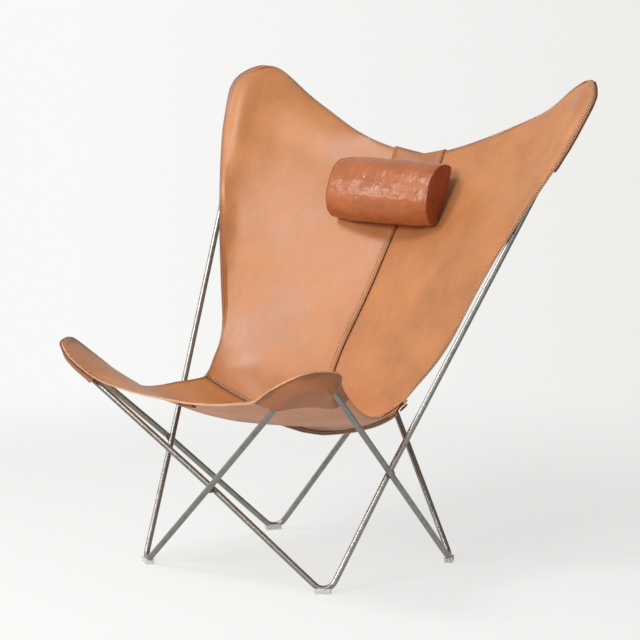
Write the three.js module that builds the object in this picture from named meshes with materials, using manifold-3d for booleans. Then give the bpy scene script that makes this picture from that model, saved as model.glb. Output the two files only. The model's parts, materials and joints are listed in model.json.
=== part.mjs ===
// Butterfly sling chair: two closed loops of bent steel rod, welded where they cross, carry a
// leather sling by four sewn pockets. A bolster headrest hangs on a strap over the top edge.
// Millimetres, +Z up, front towards -Y. Left and right are as seen from the front.

import * as THREE from 'three';
import { mergeVertices } from 'three/addons/utils/BufferGeometryUtils.js';
import Module from 'manifold-3d';

const wasm = await Module();
wasm.setup();

// Rod and welds
const rodDiameter = 12;
const weldWeb = 1;
const weldLength = 19;
const weldWidth = 11;
const fitGap = 0.3;
const earBendRadius = 45;
const kneeBendRadius = 45;
const footBendRadius = 25;
const crossingBendRadius = 600;

// Frame corners, as half widths from the middle plane and heights above the floor
const frontFootHalfTrack = 235.6;
const rearFootHalfTrack = 242.9;
const footHalfBase = 205.8;
const sideCrossingInset = 154.1;
const sideCrossingY = -69;
const sideCrossingZ = 228;
const earOuterHalfWidth = 442.7;
const earOuterY = 368.2;
const earBendAcross = 57.9;
const earBendDepth = 58.4;
const earZ = 955.9;
const backCrossingY = 282.7;
const backCrossingZ = 342.7;
const kneeRearHalfWidth = 348.7;
const kneeRearY = -321;
const kneeRearZ = 436.3;
const kneeBendAcross = 53.8;
const kneeBendDepth = 48.2;
const kneeBendFall = 3.3;
const frontCrossingY = -274.1;
const frontCrossingZ = 190.9;

// Glides
const glideFloor = 3;
const glideLength = 32;
const glideWall = 2.4;
const glideHeight = 11;

// Sling leather and where its middle line runs
const leatherThickness = 3.6;
const topEdgeAhead = 16.6;
const topEdgeFall = 152.9;
const topEdgeSway = 14;
const seatCornerY = 60;
const seatCornerZ = 258;
const backHollow = 24;
const seatSag = 16;
const frontEdgeBehind = 24.2;
const frontEdgeFall = 62;
const frontEdgeSway = 25;
const earPocketReach = 100;
const kneePocketReach = 100;
const rodClearance = 2;
const drapeRadius = 28;
const pocketClearance = 3.5;
const pocketDrapeRadius = 16;
const pushSoftness = 2;
const pushLimit = 56;
const seamLap = 14;
const pocketFold = 26;
const stitchInset = 8;
const topStripWidth = 15;
const tabLength = 34;
const tabWidth = 12;
const threadDiameter = 1.2;

// Headrest bolster, its strap and its counterweight
const bolsterHalfLength = 135;
const bolsterHeight = 134;
const bolsterDepth = 60;
const bolsterAhead = 73;
const bolsterFall = 7;
const bolsterTilt = 24.6;
const bolsterBackCrown = 5;
const bolsterEndDraw = 4;
const coverThickness = 2;
const pipingDiameter = 2.4;
const strapHalfWidth = 66;
const strapThickness = 2.4;
const strapDrop = 120;
const pouchHeight = 42;
const pouchDepth = 24;
const pouchWall = 2.4;
const barDiameter = 16;
const barEndInset = 4;

// Facets
const rodSides = 10;
const threadSides = 5;
const beadSides = 12;
const beadRings = 8;

const sideCrossingHalfWidth = earOuterHalfWidth - sideCrossingInset;
const earInnerHalfWidth = earOuterHalfWidth - earBendAcross;
const earInnerY = earOuterY + earBendDepth;
const kneeFrontHalfWidth = kneeRearHalfWidth - kneeBendAcross;
const kneeFrontY = kneeRearY - kneeBendDepth;
const kneeFrontZ = kneeRearZ - kneeBendFall;
const topEdgeY = earInnerY - topEdgeAhead;
const topEdgeZ = earZ - topEdgeFall;
const frontEdgeY = kneeFrontY + frontEdgeBehind;
const frontEdgeZ = kneeFrontZ - frontEdgeFall;
const bolsterTopY = topEdgeY - bolsterAhead;
const bolsterTopZ = topEdgeZ - bolsterFall;

const rodRadius = rodDiameter / 2;
const halfLeather = leatherThickness / 2;
const rodPitch = rodDiameter + weldWeb + 2 * fitGap;
const glideRadius = rodRadius + fitGap;
const footAxisZ = glideFloor + glideRadius;

const brushedSteel = { color: 0x8f8d88, roughness: 0.35, metalness: 1 };
const weldSteel = { color: 0x5b5148, roughness: 0.6, metalness: 0.8 };
const clearPlastic = { color: 0xc9cac4, roughness: 0.4, metalness: 0 };
const slingLeather = { color: 0xd08c5f, roughness: 0.45, metalness: 0 };
const pocketLeather = { color: 0xc98a60, roughness: 0.6, metalness: 0 };
const bolsterLeather = { color: 0xa5552d, roughness: 0.35, metalness: 0 };
const strapLeather = { color: 0xb06a42, roughness: 0.5, metalness: 0 };
const waxedThread = { color: 0xe0bb94, roughness: 0.8, metalness: 0 };
const foamWhite = { color: 0xe8dfc8, roughness: 0.95, metalness: 0 };
const barSteel = { color: 0x777777, roughness: 0.4, metalness: 1 };

const point = (x, y, z) => new THREE.Vector3(x, y, z);
const smoothStep = (t) => THREE.MathUtils.smoothstep(t, 0, 1);

function named(name, geometry, look) {
  const mesh = new THREE.Mesh(geometry, new THREE.MeshStandardMaterial(look));
  mesh.name = name;
  return mesh;
}

function bare(geometry) {
  geometry.deleteAttribute('normal');
  geometry.deleteAttribute('uv');
  return mergeVertices(geometry, 1e-4);
}

function solidOf(geometry) {
  const merged = bare(geometry.clone());
  const vertProperties = new Float32Array(merged.attributes.position.array);
  const triVerts = new Uint32Array(merged.index.array);
  return new wasm.Manifold(new wasm.Mesh({ numProp: 3, vertProperties, triVerts }));
}

function geometryOf(solid) {
  const mesh = solid.getMesh();
  const geometry = new THREE.BufferGeometry();
  geometry.setAttribute('position', new THREE.BufferAttribute(mesh.vertProperties, mesh.numProp));
  geometry.setIndex(new THREE.BufferAttribute(mesh.triVerts, 1));
  return geometry;
}

function cut(geometry, ...tools) {
  return geometryOf(tools.reduce((solid, tool) => solid.subtract(solidOf(tool)), solidOf(geometry)));
}

// A solid whose faces come out inside out is turned round
function facingOut(positions, triangles) {
  let volume = 0;
  for (const [a, b, c] of triangles) {
    volume += positions[a].dot(point(0, 0, 0).crossVectors(positions[b], positions[c]));
  }
  const turned = volume < 0 ? triangles.map(([a, b, c]) => [a, c, b]) : triangles;
  const geometry = new THREE.BufferGeometry().setFromPoints(positions);
  geometry.setIndex(turned.flat());
  return geometry;
}

// Frame path: straight runs with a round bend at each corner

function bendStations(before, corner, after) {
  const into = corner.at.clone().sub(before.at).normalize();
  const outOf = after.at.clone().sub(corner.at).normalize();
  const turn = into.angleTo(outOf);
  const inward = outOf.clone().addScaledVector(into, -Math.cos(turn)).normalize();
  const reach = corner.radius * Math.tan(turn / 2);
  const start = corner.at.clone().addScaledVector(into, -reach);
  const stations = [];
  for (let step = 0; step <= corner.steps; step += 1) {
    const angle = (turn * step) / corner.steps;
    const at = start.clone()
      .addScaledVector(into, corner.radius * Math.sin(angle))
      .addScaledVector(inward, corner.radius * (1 - Math.cos(angle)));
    const along = into.clone().multiplyScalar(Math.cos(angle)).addScaledVector(inward, Math.sin(angle));
    stations.push({ at, along });
  }
  return stations;
}

function loopStations(corners, straightShare) {
  const count = corners.length;
  const longest = earZ * straightShare;
  const bends = corners.map((corner, i) => (
    bendStations(corners[(i + count - 1) % count], corner, corners[(i + 1) % count])));
  const stations = [];
  bends.forEach((bend, i) => {
    stations.push(...bend);
    const last = bend[bend.length - 1];
    const next = bends[(i + 1) % count][0];
    const pieces = Math.ceil(last.at.distanceTo(next.at) / longest);
    for (let k = 1; k < pieces; k += 1) {
      stations.push({ at: last.at.clone().lerp(next.at, k / pieces), along: last.along });
    }
  });
  return stations;
}

class StationCurve extends THREE.Curve {
  constructor(stations, closed) {
    super();
    this.stations = stations;
    this.steps = closed ? stations.length : stations.length - 1;
  }

  station(u) {
    return this.stations[Math.round(u * this.steps) % this.stations.length];
  }

  getPointAt(u) {
    return this.station(u).at.clone();
  }

  getTangentAt(u) {
    return this.station(u).along.clone();
  }
}

function rodTube(stations, radius) {
  return new THREE.TubeGeometry(new StationCurve(stations, true), stations.length, radius, rodSides, true);
}

// How far each rod stands off the crossing point, along one axis, for the rods to lie side by side
function crossingOffset(alongA, alongB, axis) {
  const between = point(0, 0, 0).crossVectors(alongA, alongB).normalize();
  return rodPitch / 2 / Math.abs(between[axis]);
}

const earOuter = point(earOuterHalfWidth, earOuterY, earZ);
const earInner = point(earInnerHalfWidth, earInnerY, earZ);
const kneeRear = point(kneeRearHalfWidth, kneeRearY, kneeRearZ);
const kneeFront = point(kneeFrontHalfWidth, kneeFrontY, kneeFrontZ);
const frontCrossing = point(0, frontCrossingY, frontCrossingZ);
const backCrossing = point(0, backCrossingY, backCrossingZ);
const sideCrossing = point(sideCrossingHalfWidth, sideCrossingY, sideCrossingZ);

const mirrored = (p) => point(-p.x, p.y, p.z);
const frontFall = kneeFront.clone().sub(frontCrossing);
const backFall = earInner.clone().sub(backCrossing);
const loopShift = Math.max(
  crossingOffset(frontFall, mirrored(frontFall), 'y'),
  crossingOffset(backFall, mirrored(backFall), 'y'),
);
const sideShift = crossingOffset(
  earOuter.clone().sub(sideCrossing),
  kneeRear.clone().sub(sideCrossing),
  'x',
);

const bendSteps = 6;
const footSteps = 8;
const crossingSteps = 2;
const straightRunShare = 0.2;

// One loop runs from its front foot up to the ear on the same side, across the back to the rear
// foot on the other side, up to the knee there and across the front to where it began
function loopCorners(earSide, frontFootZ, rearFootZ) {
  const place = (p, side, shiftX = 0) => point(side * (p.x + shiftX), p.y + earSide * loopShift, p.z);
  const frontFoot = point(frontFootHalfTrack, -footHalfBase, frontFootZ);
  const rearFoot = point(rearFootHalfTrack, footHalfBase, rearFootZ);
  const kneeSide = -earSide;
  return {
    frontFoot: { at: place(frontFoot, earSide), radius: footBendRadius, steps: footSteps },
    earCrossing: {
      at: place(sideCrossing, earSide, -sideShift), radius: crossingBendRadius, steps: crossingSteps,
    },
    earOuter: { at: place(earOuter, earSide), radius: earBendRadius, steps: bendSteps },
    earInner: { at: place(earInner, earSide), radius: earBendRadius, steps: bendSteps },
    backCrossing: {
      at: place(backCrossing, 1), radius: crossingBendRadius, steps: crossingSteps,
    },
    rearFoot: { at: place(rearFoot, kneeSide), radius: footBendRadius, steps: footSteps },
    kneeCrossing: {
      at: place(sideCrossing, kneeSide, sideShift), radius: crossingBendRadius, steps: crossingSteps,
    },
    kneeRear: { at: place(kneeRear, kneeSide), radius: kneeBendRadius, steps: bendSteps },
    kneeFront: { at: place(kneeFront, kneeSide), radius: kneeBendRadius, steps: bendSteps },
    frontCrossing: {
      at: place(frontCrossing, 1), radius: crossingBendRadius, steps: crossingSteps,
    },
  };
}

const lowest = (stations) => stations.reduce((low, s) => (s.at.z < low.at.z ? s : low));

// The virtual corner of each foot is lowered until its bend just stands on the glide's floor
function seatedLoop(earSide) {
  let frontFootZ = 0;
  let rearFootZ = 0;
  let corners;
  for (let pass = 0; pass < 4; pass += 1) {
    corners = loopCorners(earSide, frontFootZ, rearFootZ);
    const front = lowest(bendStations(corners.frontCrossing, corners.frontFoot, corners.earCrossing));
    const rear = lowest(bendStations(corners.backCrossing, corners.rearFoot, corners.kneeCrossing));
    frontFootZ += footAxisZ - front.at.z;
    rearFootZ += footAxisZ - rear.at.z;
  }
  return corners;
}

const loops = [-1, 1].map((earSide) => {
  const corners = seatedLoop(earSide);
  return { corners, stations: loopStations(Object.values(corners), straightRunShare) };
});
const swollenRods = loops.map((loop) => rodTube(loop.stations, glideRadius));

function nearRun(stations, centre, reach) {
  return lowest(stations.filter((s) => s.at.distanceTo(centre) < reach));
}

function makeGlide(corner, stations, rod) {
  const foot = nearRun(stations, corner.at, 3 * footBendRadius);
  const half = glideRadius + glideWall;
  const outline = new THREE.Shape();
  outline.moveTo(-half + glideWall, 0);
  outline.lineTo(half - glideWall, 0);
  outline.quadraticCurveTo(half, 0, half, glideWall);
  outline.lineTo(half, glideHeight - glideWall / 2);
  outline.lineTo(half - glideWall / 2, glideHeight);
  outline.lineTo(-half + glideWall / 2, glideHeight);
  outline.lineTo(-half, glideHeight - glideWall / 2);
  outline.lineTo(-half, glideWall);
  outline.quadraticCurveTo(-half, 0, -half + glideWall, 0);
  const block = new THREE.ExtrudeGeometry(outline, {
    depth: glideLength, bevelEnabled: false, curveSegments: 3,
  });
  block.translate(0, 0, -glideLength / 2);
  block.rotateX(Math.PI / 2);
  block.rotateZ(Math.atan2(foot.along.x, -foot.along.y));
  block.translate(foot.at.x, foot.at.y, 0);
  return cut(block, rod);
}

function closestOnRun(run, p) {
  let best = run[0].at;
  for (let i = 1; i < run.length; i += 1) {
    const near = new THREE.Line3(run[i - 1].at, run[i].at).closestPointToPoint(p, true, point(0, 0, 0));
    if (near.distanceTo(p) < best.distanceTo(p)) best = near;
  }
  return best;
}

// A bead of weld metal lies between the two rods of a crossing and wraps a little round both
function makeWeld(crossing) {
  const sides = loops.map((loop) => closestOnRun([...loop.stations, loop.stations[0]], crossing));
  const middle = sides[0].clone().lerp(sides[1], 0.5);
  const bead = new THREE.SphereGeometry(1, beadSides, beadRings);
  bead.scale(weldWidth / 2, weldLength / 2, weldLength / 2);
  const across = sides[1].clone().sub(sides[0]).normalize();
  bead.applyQuaternion(new THREE.Quaternion().setFromUnitVectors(point(1, 0, 0), across));
  bead.translate(...middle);
  return cut(bead, ...swollenRods);
}

// The sling's stations run from the top edge over the seat corner to the front edge. Each has a
// place on the middle line and a place on the side edge.
const backLineShares = [
  [0, 0], [0.019, 0.02], [0.049, 0.05], [0.107, 0.08], [0.178, 0.14], [0.334, 0.4], [0.556, 0.62],
  [0.739, 1], [0.87, 0.85], [1, 0],
];
const seatLineShares = [
  [0.198, 0.05], [0.42, 0.8], [0.568, 0.95], [0.716, 0.85], [0.84, 0.5], [0.919, 0.22],
  [0.973, 0.06], [1, 0],
];
const earSideShares = [
  [0.02, 0.28, -0.01], [-0.21, 0.29, 0.01], [-0.72, 0.04, -0.09], [-0.97, -0.89, -0.13],
  [-1.09, -1.72, -0.08],
];
const freeSideShares = [
  [0.849, 0.592, 0.598], [0.709, 0.444, 0.371], [0.639, 0.341, 0.2665], [0.612, 0.258, 0.22],
  [0.592, 0.169, 0.1745],
  [0.655, 0.034, 0.161], [0.673, -0.135, 0.159], [0.689, -0.265, 0.188],
];
const kneeSideShares = [
  [-0.72, -0.86, 0.3], [-0.56, -0.31, 0.28], [-0.56, 0.05, 0.25], [-0.14, 0.25, 0.18],
  [0.06, 0.3, 0.12],
];
const topEdgeShares = [
  [0, 0, 0], [0.203, -0.93, 0.118], [0.406, -0.86, 0.288], [0.597, 0.29, 0.497], [0.769, 1, 0.72],
];
const earTopShares = [[0.45, -0.03, 0.15], [0.21, 0.23, 0.04], [0.02, 0.28, -0.01]];
const frontEdgeShares = [[0, 0, 0], [0.249, -0.44, 0.094], [0.466, -1, 0.267]];
const kneeFrontShares = [
  [1.09, -0.58, 0.1], [0.84, -0.15, 0.03], [0.56, 0.13, 0.03], [0.14, 0.31, 0.1],
  [0.06, 0.3, 0.12],
];
// How round the valley is along the middle line, as a share of the half width, at each station
const valleyShares = [
  0.3, 0.3, 0.28, 0.25, 0.22, 0.18, 0.17, 0.3, 0.8, 1.5, 1.5, 1, 0.7, 0.5, 0.5, 0.5, 0.5, 0.5,
];
const lastStation = valleyShares.length - 1;
const seamV = (backLineShares.length - 1) / lastStation;
const earMouthV = (earSideShares.length - 1) / lastStation;
const kneeMouthV = 1 - (kneeSideShares.length - 1) / lastStation;
const earMouthU = 0.674;
const kneeMouthU = 0.69;
const earMouthBulgeShare = 0.1;
const kneeMouthBulgeShare = 0.35;

const backChord = point(0, seatCornerY - topEdgeY, seatCornerZ - topEdgeZ);
const backFace = point(0, backChord.z, -backChord.y).normalize();

function smoothLine(points) {
  return new THREE.CatmullRomCurve3(points, false, 'centripetal');
}

// Axes of a bend: across it from the outer to the inner leg, away from its legs, and its face
function bendFrame(outer, inner, legFromOuter, legFromInner) {
  const origin = outer.clone().lerp(inner, 0.5);
  const across = inner.clone().sub(outer).normalize();
  const away = outer.clone().sub(legFromOuter).normalize()
    .add(inner.clone().sub(legFromInner).normalize());
  away.addScaledVector(across, -away.dot(across)).normalize();
  const face = point(0, 0, 0).crossVectors(across, away);
  if (face.z < 0) face.negate();
  return (share, reach) => origin.clone()
    .addScaledVector(across, share[0] * reach)
    .addScaledVector(away, share[1] * reach)
    .addScaledVector(face, share[2] * reach);
}

// One half of the sling, worked out on the +X side and turned to its own side at the end
function makeHalf(side) {
  const turn = (p) => point(side * p.x, p.y, p.z);
  const earCorners = side < 0 ? loops[0].corners : loops[1].corners;
  const kneeCorners = side < 0 ? loops[1].corners : loops[0].corners;
  const ear = bendFrame(...['earOuter', 'earInner', 'earCrossing', 'backCrossing']
    .map((key) => turn(earCorners[key].at)));
  const knee = bendFrame(...['kneeRear', 'kneeFront', 'kneeCrossing', 'frontCrossing']
    .map((key) => turn(kneeCorners[key].at)));

  const centre = smoothLine([
    ...backLineShares.map(([share, hollow]) => point(
      0,
      THREE.MathUtils.lerp(topEdgeY, seatCornerY, share),
      THREE.MathUtils.lerp(topEdgeZ, seatCornerZ, share),
    ).addScaledVector(backFace, hollow * backHollow)),
    ...seatLineShares.map(([share, sag]) => point(
      0,
      THREE.MathUtils.lerp(seatCornerY, frontEdgeY, share),
      THREE.MathUtils.lerp(seatCornerZ, frontEdgeZ, share) - sag * seatSag,
    )),
  ]);
  const edge = smoothLine([
    ...earSideShares.map((share) => ear(share, earPocketReach)),
    ...freeSideShares.map(([x, y, z]) => point(
      x * earOuterHalfWidth,
      sideCrossingY + y * (earOuterY - sideCrossingY),
      sideCrossingZ + z * (earZ - sideCrossingZ),
    )),
    ...kneeSideShares.map((share) => knee(share, kneePocketReach)),
  ]);
  const earMiddle = earOuter.clone().lerp(earInner, 0.5);
  const kneeMiddle = kneeRear.clone().lerp(kneeFront, 0.5);
  const top = smoothLine([
    ...topEdgeShares.map(([x, y, z]) => point(
      x * earMiddle.x,
      topEdgeY + y * topEdgeSway,
      THREE.MathUtils.lerp(topEdgeZ, earMiddle.z, z),
    )),
    ...earTopShares.map((share) => ear(share, earPocketReach)),
  ]);
  const front = smoothLine([
    ...frontEdgeShares.map(([x, y, z]) => point(
      x * kneeMiddle.x,
      frontEdgeY + y * frontEdgeSway,
      THREE.MathUtils.lerp(frontEdgeZ, kneeMiddle.z, z),
    )),
    ...kneeFrontShares.map((share) => knee(share, kneePocketReach)),
  ]);

  // The point of an edge line that lies at a given share of its half width
  const atWidth = (line, u) => {
    const width = Math.abs(u) * line.getPoint(1).x;
    let low = 0;
    let high = 1;
    for (let pass = 0; pass < 24; pass += 1) {
      const middle = (low + high) / 2;
      if (line.getPoint(middle).x < width) low = middle;
      else high = middle;
    }
    const found = line.getPoint(high);
    return point(Math.sign(u) * found.x, found.y, found.z);
  };
  const valley = (v) => {
    const place = THREE.MathUtils.clamp(v, 0, 1) * lastStation;
    const from = Math.min(Math.floor(place), lastStation - 1);
    return THREE.MathUtils.lerp(valleyShares[from], valleyShares[from + 1], place - from);
  };
  const section = (u, v) => {
    const round = valley(v);
    const rise = (Math.hypot(u, round) - round) / (Math.hypot(1, round) - round);
    const low = centre.getPoint(v);
    const high = edge.getPoint(v);
    return point(
      u * high.x,
      THREE.MathUtils.lerp(low.y, high.y, rise),
      THREE.MathUtils.lerp(low.z, high.z, rise),
    );
  };
  const hung = (u, v) => {
    const at = section(u, v);
    if (v < seamV) {
      const fade = (1 - v / seamV) ** 3;
      at.addScaledVector(atWidth(top, u).sub(section(u, 0)), fade);
    } else {
      const fade = ((v - seamV) / (1 - seamV)) ** 3;
      at.addScaledVector(atWidth(front, u).sub(section(u, 1)), fade);
    }
    return at;
  };
  const faceOf = (surface, u, v) => {
    const span = 0.02;
    const uIn = THREE.MathUtils.clamp(u, span - 1, 1 - span);
    const vIn = THREE.MathUtils.clamp(v, span, 1 - span);
    const down = surface(uIn, vIn + span).sub(surface(uIn, vIn - span));
    const across = surface(uIn + span, vIn).sub(surface(uIn - span, vIn));
    return down.cross(across).normalize();
  };

  const runs = loops.map((loop) => [...loop.stations, loop.stations[0]].map((s) => turn(s.at)));
  // Greatest height that the leather needs over the rods under or beside a point
  const rodHeight = (p, face, sign, clearance, drape) => {
    let need = -Infinity;
    for (const run of runs) {
      for (let i = 1; i < run.length; i += 1) {
        const near = new THREE.Line3(run[i - 1], run[i]).closestPointToPoint(p, true, point(0, 0, 0));
        const away = p.clone().sub(near);
        const height = away.dot(face);
        const aside = away.addScaledVector(face, -height).length();
        const wanted = rodRadius + clearance + halfLeather - aside ** 2 / (2 * drape);
        need = Math.max(need, wanted - sign * height);
      }
    }
    return need;
  };
  const soft = (x) => pushSoftness * Math.log1p(Math.exp(Math.min(x, pushLimit) / pushSoftness));
  const surface = (u, v) => {
    const at = hung(u, v);
    const face = faceOf(hung, u, v);
    return at.addScaledVector(face, soft(rodHeight(at, face, 1, rodClearance, drapeRadius)));
  };
  return { turn, edge, top, front, surface, rodHeight, soft, face: (u, v) => faceOf(surface, u, v) };
}

const halves = { left: makeHalf(-1), right: makeHalf(1) };

// A point of the sling's middle surface, moved off it along its face
function lifted(half, u, v, lift) {
  return half.turn(half.surface(u, v).addScaledVector(half.face(u, v), lift));
}

// Grid of rows of points to an open skin of triangles, with points that coincide made one
function skinOf(rows) {
  const points = [];
  const ids = rows.map((row) => row.map((p) => {
    const found = points.findIndex((q) => q.distanceTo(p) < 1e-6);
    if (found >= 0) return found;
    points.push(p);
    return points.length - 1;
  }));
  const triangles = [];
  const add = (a, b, c) => {
    if (a !== b && b !== c && a !== c) triangles.push([a, b, c]);
  };
  for (let i = 1; i < ids.length; i += 1) {
    for (let j = 1; j < ids[i].length; j += 1) {
      const [a, b, c, d] = [ids[i - 1][j - 1], ids[i - 1][j], ids[i][j], ids[i][j - 1]];
      if (points[a].distanceTo(points[c]) < points[b].distanceTo(points[d])) {
        add(a, b, c);
        add(a, c, d);
      } else {
        add(a, b, d);
        add(b, c, d);
      }
    }
  }
  return { points, triangles };
}

// Sheet of even thickness round a skin, with a rim along every open edge
function sheetOf(rows, thickness) {
  const { points, triangles } = skinOf(rows);
  const faces = points.map(() => point(0, 0, 0));
  const open = new Map();
  for (const [a, b, c] of triangles) {
    const area = point(0, 0, 0).crossVectors(
      points[b].clone().sub(points[a]),
      points[c].clone().sub(points[a]),
    );
    [a, b, c].forEach((id) => faces[id].add(area));
    for (const [from, to] of [[a, b], [b, c], [c, a]]) {
      if (!open.delete(`${to} ${from}`)) open.set(`${from} ${to}`, [from, to]);
    }
  }
  faces.forEach((face) => face.normalize());
  const count = points.length;
  const positions = [
    ...points.map((p, i) => p.clone().addScaledVector(faces[i], thickness / 2)),
    ...points.map((p, i) => p.clone().addScaledVector(faces[i], -thickness / 2)),
  ];
  const solid = [];
  for (const [a, b, c] of triangles) {
    solid.push([a, b, c]);
    solid.push([a + count, c + count, b + count]);
  }
  for (const [a, b] of open.values()) {
    solid.push([b, a, a + count]);
    solid.push([b, a + count, b + count]);
  }
  return facingOut(positions, solid);
}

const evenly = (from, to, count) => (
  Array.from({ length: count + 1 }, (_, i) => THREE.MathUtils.lerp(from, to, i / count)));
const edgeward = (t) => 1 - (1 - t) ** 1.35;
const halfColumns = 13;
const lapStep = leatherThickness + 2 * fitGap;

// Places across one half of the sling, from the middle seam's lap out to the side edge
function columnsAt(half, v) {
  const lap = seamLap / half.edge.getPoint(v).x;
  return [lap / 2, lap, ...evenly(0, 1, halfColumns).slice(1).map((t) => lap + (1 - lap) * edgeward(t))];
}

// Rows follow the stations, with more of them where stations lie far apart
function rowsBetween(first, last) {
  const rows = [first / lastStation];
  for (let station = first; station < last; station += 1) {
    const far = station >= earSideShares.length - 3 && station < backLineShares.length - 1;
    const pieces = far ? 3 : 2;
    for (let k = 1; k <= pieces; k += 1) rows.push((station + k / pieces) / lastStation);
  }
  return rows;
}

// The left back panel laps over the right one, which steps back under it along the middle line
function makeBackPanel(half, under) {
  return sheetOf(rowsBetween(0, seamV * lastStation).map((v) => {
    const [inner, ...outer] = columnsAt(half, v);
    const lift = under ? -lapStep : 0;
    return [
      ...[-inner, inner].map((u) => lifted(half, u, v, lift)),
      ...outer.map((u) => lifted(half, u, v, 0)),
    ];
  }), leatherThickness);
}

// The share of the sling's run that a short distance down it comes to, next to a given place
function shareDown(distance, u, v) {
  const span = 0.01;
  const next = v < 1 ? v + span : v - span;
  return (distance * span) / halves.right.surface(u, v).distanceTo(halves.right.surface(u, next));
}

// The seat panel's rear edge is folded up behind both back panels and steps round their lap
function makeSeatPanel() {
  const across = (v, lift, lapLift) => {
    const rise = (half, u, i) => lifted(half, u, v, i < 2 ? lapLift : lift);
    return [
      ...columnsAt(halves.left, v).map((u, i) => rise(halves.left, u, i)).reverse(),
      ...columnsAt(halves.right, v).map((u, i) => rise(halves.right, u, i)),
    ];
  };
  const behind = seamV - shareDown(seamLap, 0, seamV);
  const beside = seamV + shareDown(2 * fitGap, 0, seamV);
  const level = seamV + shareDown(seamLap, 0, seamV);
  return sheetOf([
    across(behind, -lapStep, -2 * lapStep),
    across(beside, -lapStep, -2 * lapStep),
    across(level, 0, 0),
    ...rowsBetween(seamV * lastStation, lastStation).slice(1).map((v) => across(v, 0, 0)),
  ], leatherThickness);
}

// A pocket lies behind a lobe of the sling. It meets the lobe along its outline, and stands off it
// far enough inside for the rod's bend to pass between them.
function makePocket(half, tipV, mouthU, mouthV, bulge) {
  const spans = 13;
  const outline = [
    ...evenly(mouthU, 1, 3 * spans).map((u) => half.surface(u, tipV)),
    ...evenly(tipV, mouthV, 3 * spans).map((v) => half.surface(1, v)),
  ];
  const seam = leatherThickness + 1.6 * fitGap;
  const depth = 2 * rodRadius + rodClearance + pocketClearance + leatherThickness;
  const at = (share, column) => {
    const row = share * (1 + 4 * bulge * column * (1 - column));
    const u = 1 - row * (1 - mouthU) * (1 - column);
    const v = tipV + row * (mouthV - tipV) * column;
    const front = half.surface(u, v);
    const face = half.face(u, v);
    const inside = Math.min(...outline.map((p) => p.distanceTo(front)));
    const stand = THREE.MathUtils.lerp(seam, depth, smoothStep(inside / pocketFold));
    const behind = front.clone().addScaledVector(face, -stand);
    const clear = half.soft(half.rodHeight(behind, face, -1, pocketClearance, pocketDrapeRadius));
    return half.turn(behind.addScaledVector(face, -clear));
  };
  return sheetOf(
    evenly(0, 1, spans).map((row) => evenly(0, 1, spans).map((column) => at(row, column))),
    leatherThickness,
  );
}

// A thread laid on panels: each place is dropped on to their faces and stands a little off them
const stitchCaster = new THREE.Raycaster();

function threadOn(panels, places) {
  const laid = places.map(({ at, face }) => {
    stitchCaster.set(at.clone().addScaledVector(face, pocketFold), face.clone().negate());
    const [hit] = stitchCaster.intersectObjects(panels, false);
    return (hit ? hit.point : at.clone()).addScaledVector(face, threadLift);
  });
  const outline = new THREE.Shape(evenly(0, 1, threadSides).slice(1).map((share) => {
    const angle = 2 * Math.PI * share;
    return new THREE.Vector2(Math.cos(angle), Math.sin(angle)).multiplyScalar(threadDiameter / 2);
  }));
  const stations = laid.map((at, i) => ({
    at,
    along: laid[Math.min(i + 1, laid.length - 1)].clone().sub(laid[Math.max(i - 1, 0)]).normalize(),
  }));
  return new THREE.ExtrudeGeometry(outline, {
    steps: laid.length - 1, extrudePath: new StationCurve(stations, false),
  });
}

// Places a little way in from a sling's edge, from their shares across and down that edge
function insetPlaces(half, line) {
  return line.map(([u, v]) => {
    const span = 0.01;
    const edge = half.surface(u, v);
    const face = half.face(u, v);
    const deeper = half.surface(u * (1 - 2 * span), THREE.MathUtils.lerp(v, seamV, 2 * span));
    const tangent = u === 1
      ? half.edge.getTangent(v)
      : half.surface(u + span / 2, v).sub(half.surface(u - span / 2, v)).normalize();
    const inward = point(0, 0, 0).crossVectors(face, tangent).normalize();
    if (inward.dot(deeper.sub(edge)) < 0) inward.negate();
    return { at: half.turn(edge.addScaledVector(inward, stitchInset)), face: half.turn(face) };
  });
}

const threadLift = 3 * fitGap + threadDiameter / 2;
const strapReachShare = 0.18;
const threadEndShare = 0.97;
const seamInsetShare = 0.02;
const earThreadEndShare = 1.2;
const lobeThreadSteps = 12;
const topThreadSteps = 26;
const sideThreadSteps = 16;
const middleThreadSteps = 44;

function makeEarThread(half, panel) {
  return threadOn([panel], insetPlaces(half, [
    ...evenly(strapReachShare, threadEndShare, topThreadSteps).map((u) => [u, 0]),
    ...evenly(earMouthV / sideThreadSteps, earThreadEndShare * earMouthV, sideThreadSteps)
      .map((v) => [1, v]),
  ]));
}

function makeKneeThread(half, panel) {
  const firstV = THREE.MathUtils.lerp(1, kneeMouthV, 1 / lobeThreadSteps);
  return threadOn([panel], insetPlaces(half, [
    ...evenly(kneeMouthU, threadEndShare, lobeThreadSteps).map((u) => [u, 1]),
    ...evenly(firstV, kneeMouthV, lobeThreadSteps).map((v) => [1, v]),
  ]));
}

const placeOn = (half, u, v) => ({ at: half.turn(half.surface(u, v)), face: half.turn(half.face(u, v)) });

function makeMiddleThread(panel) {
  return threadOn([panel], evenly(seamInsetShare, seamV - seamInsetShare, middleThreadSteps)
    .map((v) => placeOn(halves.left, seamInsetShare, v)));
}

function makeSeatThread(leftPanel, rightPanel) {
  const v = seamV - seamInsetShare / 2;
  return threadOn([leftPanel, rightPanel], [
    ...evenly(threadEndShare, seamInsetShare, sideThreadSteps).map((u) => placeOn(halves.left, u, v)),
    ...evenly(3 * seamInsetShare, threadEndShare, sideThreadSteps)
      .map((u) => placeOn(halves.right, u, v)),
  ]);
}

const stripColumns = 12;
const tabColumns = 3;

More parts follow.
